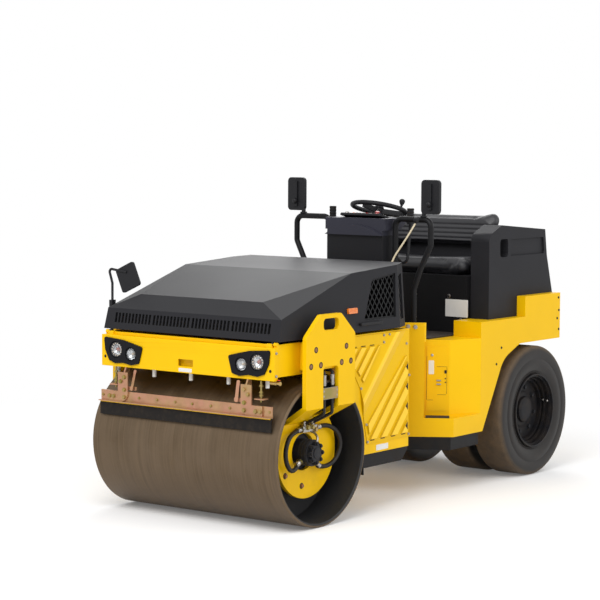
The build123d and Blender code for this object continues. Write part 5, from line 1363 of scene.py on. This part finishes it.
class RollerControls(bpy.types.Operator):
    """Instruments, pale lever rod, mirror joints and steering wheel cap"""

    bl_idname = "roller.controls"
    bl_label = "Controls"

    def execute(self, context):
        self.instruments()
        self.rod()
        self.mirror_joints()
        self.wheel()
        self.levers()
        return {"FINISHED"}

    def instruments(self):
        """Tilted dash with a display, two dials, six switches, a key and a stop button."""
        way = axes_of((-0.25, 0, 1))[:, 2]
        tilt = np.stack([OUT, np.cross(way, OUT), way], 1)
        top = rear_spot(-190, 0, 1600)
        dash = Shape().plate((0.150, 0.062, 0.016, 6), top, tilt, 0.014, 0.004)

        def on(across, back):
            return top + tilt @ np.array((across, back, 0.0138))

        dash.plate((0.048, 0.030, 0.005, 4), on(0.0, 0.012), tilt, 0.002, 0.0006, 1)
        for across in (-0.104, 0.104):
            dash.turned([(0.030, 0), (0.030, 0.005), (0.026, 0.006), (0.025, 0.003),
                         (0.004, 0.003)], on(across, 0.014), way, 2, 28)
            dash.turned([(0.0245, 0), (0.0245, 0.0036), (0.02, 0.0042)], on(across, 0.014), way,
                        1, 28)
        for across, mark in zip(np.linspace(-0.060, 0.060, 6), (4, 2, 2, 2, 3, 2)):
            dash.plate((0.009, 0.008, 0.003, 3), on(across, -0.036), tilt, 0.006, 0.002, mark)
        dash.turned([(0.013, 0), (0.013, 0.006), (0.009, 0.010), (0.003, 0.010)],
                    on(-0.110, -0.038), way, 2, 20)
        dash.turned([(0.016, 0), (0.016, 0.004), (0.009, 0.006), (0.009, 0.009), (0.015, 0.011),
                     (0.015, 0.015), (0.008, 0.018)], on(0.110, -0.038), way, 3)
        dash.piece("instruments", "rear_frame", ["moulding", "gloss", "steel", "red", "amber"],
                   None, 40.0)

    def rod(self):
        """Pale rod, bent along its knots, with a dark grip and foot."""
        knots = rear_spots(((-80, 196, 1290), (-80, 250, 1318), (-80, 292, 1385),
                            (-80, 345, 1455), (-80, 400, 1530), (-80, 438, 1585)))
        rod = Shape().tube(smooth_path(knots, 60), 0.0052, 0, 12, AHEAD)
        rod.turned([(0.009, -0.004), (0.015, 0.006), (0.017, 0.016), (0.014, 0.028),
                    (0.004, 0.032)], knots[-1], (0, 0.2, 1), 1, 20)
        rod.turned([(0.020, 0), (0.020, 0.005), (0.011, 0.012)], knots[0], (0, 1, 0.4), 1, 20)
        rod.piece("pale_lever", "rear_frame", ["cream", "moulding"])

    def mirror_joints(self):
        """Ball behind each mirror, and the collar and clamp on its rail."""
        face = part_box("mirrors")[1].x
        joints = Shape()
        for side in SIDES:
            joints.turned([(0.015, -0.004), (0.017, 0.004), (0.014, 0.012), (0.006, 0.016)],
                          (face - 0.001, side * 0.490, 1.690), AHEAD, 0, 20)
            joints.turned([(0.012, -0.012), (0.0125, -0.004), (0.0125, 0.008), (0.0105, 0.016)],
                          rear_spot(-160, side * 440, 1630), ABOVE, 0, 16)
            joints.plate((0.020, 0.013, 0.004, 3), rear_spot(-160, side * 440, 1614), FLAT,
                         0.010, 0.002)
        joints.piece("mirror_joints", "rear_frame", ["moulding"])

    def wheel(self):
        """Cap in the middle of the leaning steering wheel."""
        lean = math.radians(15.0)
        cap = Shape().turned([(0.024, 0), (0.030, 0.002), (0.030, 0.008), (0.024, 0.014),
                              (0.006, 0.016)], rear_spot(-330, 0, 1650),
                             (-math.sin(lean), 0.0, math.cos(lean)), 0, 32)
        cap.piece("wheel_cap", "steering_wheel", ["gloss"])

    def levers(self):
        """Rubber boots and rings at the feet and under the grips of the travel levers."""
        boot = [(0.030, 0), (0.030, 0.004), (0.024, 0.010), (0.027, 0.014), (0.020, 0.020),
                (0.023, 0.024), (0.016, 0.030), (0.018, 0.034), (0.0105, 0.042)]
        ring = [(0.0195, 0), (0.0215, 0.002), (0.0215, 0.006), (0.0195, 0.008)]
        shape = Shape()
        for side in SIDES:
            shape.turned(boot, rear_spot(-220, side * 199, 1340), (0, side, 0))
            for up in (1577, 1595, 1613, 1631, 1649):
                shape.turned(ring, rear_spot(-250, side * 285, up), ABOVE)
        shape.piece("lever_boots", "rear_frame", ["rubber"])


class RollerWheels(bpy.types.Operator):
    """Wheel nuts, hub caps and valve stems"""

    bl_idname = "roller.wheels"
    bl_label = "Wheel nuts"

    def execute(self, context):
        count, turn = 8, 2.9
        inset, nut_ring, valve_ring = 0.095, 0.138, 0.186
        nut = bolt_shape(0.0135, mark=2)
        hub = [(0.112, -0.002), (0.112, 0.006), (0.106, 0.010), (0.082, 0.011), (0.078, 0.026),
               (0.070, 0.032), (0.050, 0.034), (0.010, 0.035)]
        stem = [(0.0065, -0.014), (0.0065, 0.010), (0.0048, 0.012), (0.0048, 0.034),
                (0.0056, 0.035), (0.0056, 0.044), (0.004, 0.046)]
        way = np.array((math.cos(turn), 0.0, math.sin(turn)))
        for side, name in zip(SIDES, ("left", "right")):
            low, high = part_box("tyres_" + name)
            centre = (low + high) / 2
            centre.y = (high.y if side > 0 else low.y) - side * inset
            shape = Shape()
            shape.copies(nut, facing((0, side, 0), count),
                         circle(count, nut_ring, 1, 0.2) + np.array(centre))
            shape.turned(hub, centre, (0, side, 0), 1, 40)
            shape.turned(stem, way * valve_ring + centre + np.array((0, side * 0.040, 0)),
                         way * -0.25 + (0, side * 0.95, 0), 0, 14)
            shape.piece("wheel_nuts_" + name, name + "_wheels", ["steel", "rim", "iron"])
        return {"FINISHED"}


class RollerStage(bpy.types.Operator):
    """Pale floor, white surroundings, soft lamps and the camera"""

    bl_idname = "roller.stage"
    bl_label = "Stage"

    def execute(self, context):
        sizes = context.scene.roller_sizes
        self.floor()
        self.surroundings(context, sizes)
        self.lamps(sizes)
        self.camera(context)
        context.scene.view_settings.view_transform = "Standard"
        return {"FINISHED"}

    def floor(self):
        """Flat pale floor: paler for a ray from the camera, metal or glass, and white far off."""
        reach = 60.0
        line = np.linspace(-reach, reach, 3)
        grid = np.stack(np.meshgrid(line, line, [0.0], indexing="ij"), -1)[:, :, 0]
        made = Finish("Floor", (0.8, 0.8, 0.8), 0.9, specular_ior_level=0.0,
                      emission_strength=1.0)
        axes = made.place()
        path = made.node("LightPath")
        seen = seen_rays(path)
        out = (axes["X"] * axes["X"] + axes["Y"] * axes["Y"]) ** 0.5
        far = (0.12 + out.ramp(2.0, 4.5) * 0.88) * seen
        near = made.mix(seen, made.colour, WHITE)
        made.set("Base Color", made.mix(far, near, BLACK))
        made.set("Emission Color", made.mix(far, BLACK, WHITE))
        FINISHES["floor"] = made.material
        Shape().surface(grid.transpose(1, 0, 2)).piece("floor", None, ["floor"])

    def surroundings(self, context, sizes):
        """White where the camera, metal or glass looks, and soft light for everything else."""
        world = bpy.data.worlds.new("Surroundings")
        world.use_nodes = True
        tree = world.node_tree
        background = tree.nodes["Background"]
        path = tree.nodes.new("ShaderNodeLightPath")
        seen = seen_rays({output.name: Value(tree, output) for output in path.outputs})
        background.inputs["Color"].default_value = WHITE
        feed(tree, sizes.sky + seen * (1 - sizes.sky), background.inputs["Strength"])
        context.scene.world = world

    def lamps(self, sizes):
        """Large soft lamps: one overhead towards the camera, one weaker at each side."""
        plan = (
            # name, place, size, share of the key light's power
            ("key_lamp", (5.5, 1.5, 6.0), 5.0, 1.0),
            ("fill_lamp", (-1.0, 7.0, 4.0), 5.0, 0.45),
            ("back_lamp", (-6.0, -4.0, 5.0), 5.0, 0.5),
        )
        for name, place, size, share in plan:
            lamp = bpy.data.lights.new(name, "AREA")
            lamp.shape = "DISK"
            lamp.size = size
            lamp.energy = sizes.key_light * share
            lamp_object = bpy.data.objects.new(name, lamp)
            aim = (Vector((0, 0, 0.6)) - Vector(place)).to_track_quat("-Z", "Y")
            lamp_object.matrix_world = Matrix.Translation(place) @ aim.to_matrix().to_4x4()
            bpy.context.scene.collection.objects.link(lamp_object)

    def camera(self, context):
        """Camera at the photograph's place, turned by azimuth, elevation and a slight roll."""
        azimuth, elevation, roll = (math.radians(a) for a in CAMERA_TURN)
        ahead = -Vector((math.cos(azimuth) * math.cos(elevation),
                         math.sin(azimuth) * math.cos(elevation), math.sin(elevation)))
        right = ahead.cross(Vector(UP)).normalized()
        above = right.cross(ahead)
        across = right * math.cos(roll) + above * math.sin(roll)
        upward = above * math.cos(roll) - right * math.sin(roll)
        turn = Matrix((across, upward, -ahead)).transposed().to_4x4()
        data = bpy.data.cameras.new("camera")
        data.sensor_width = 36.0
        data.lens = CAMERA_LENS
        data.clip_end = 200.0
        camera = bpy.data.objects.new("camera", data)
        camera.matrix_world = Matrix.Translation(CAMERA_PLACE) @ turn
        context.scene.collection.objects.link(camera)
        context.scene.camera = camera


OPERATORS = (RollerFinishes, RollerTyres, RollerSeat, RollerBolts, RollerLamps, RollerHydraulics,
             RollerScraper, RollerPlates, RollerHoodTrim, RollerEngine, RollerControls,
             RollerWheels, RollerStage)


class RollerPanel(bpy.types.Panel):
    """Lists the roller's operators, sizes and colours"""

    bl_idname = "VIEW3D_PT_roller"
    bl_label = "Combination roller"
    bl_space_type = "VIEW_3D"
    bl_region_type = "UI"
    bl_category = "Roller"

    def draw(self, context):
        layout = self.layout
        for operator in OPERATORS:
            layout.operator(operator.bl_idname)
        for group in (context.scene.roller_sizes, context.scene.roller_colours):
            for name in group.bl_rna.properties.keys():
                if name not in ("rna_type", "name"):
                    layout.prop(group, name)


CLASSES = (RollerColours, RollerSizes, *OPERATORS, RollerPanel)


def register():
    """Register the classes and hang their properties on the scene."""
    for each in CLASSES:
        bpy.utils.register_class(each)
    bpy.types.Scene.roller_colours = bpy.props.PointerProperty(type=RollerColours)
    bpy.types.Scene.roller_sizes = bpy.props.PointerProperty(type=RollerSizes)


def unregister():
    """Take the properties and classes away again."""
    del bpy.types.Scene.roller_colours
    del bpy.types.Scene.roller_sizes
    for each in reversed(CLASSES):
        bpy.utils.unregister_class(each)


def main():
    """Make every piece in order."""
    register()
    for operator in OPERATORS:
        group, name = operator.bl_idname.split(".")
        getattr(getattr(bpy.ops, group), name)()


if __name__ == "__main__":
    main()
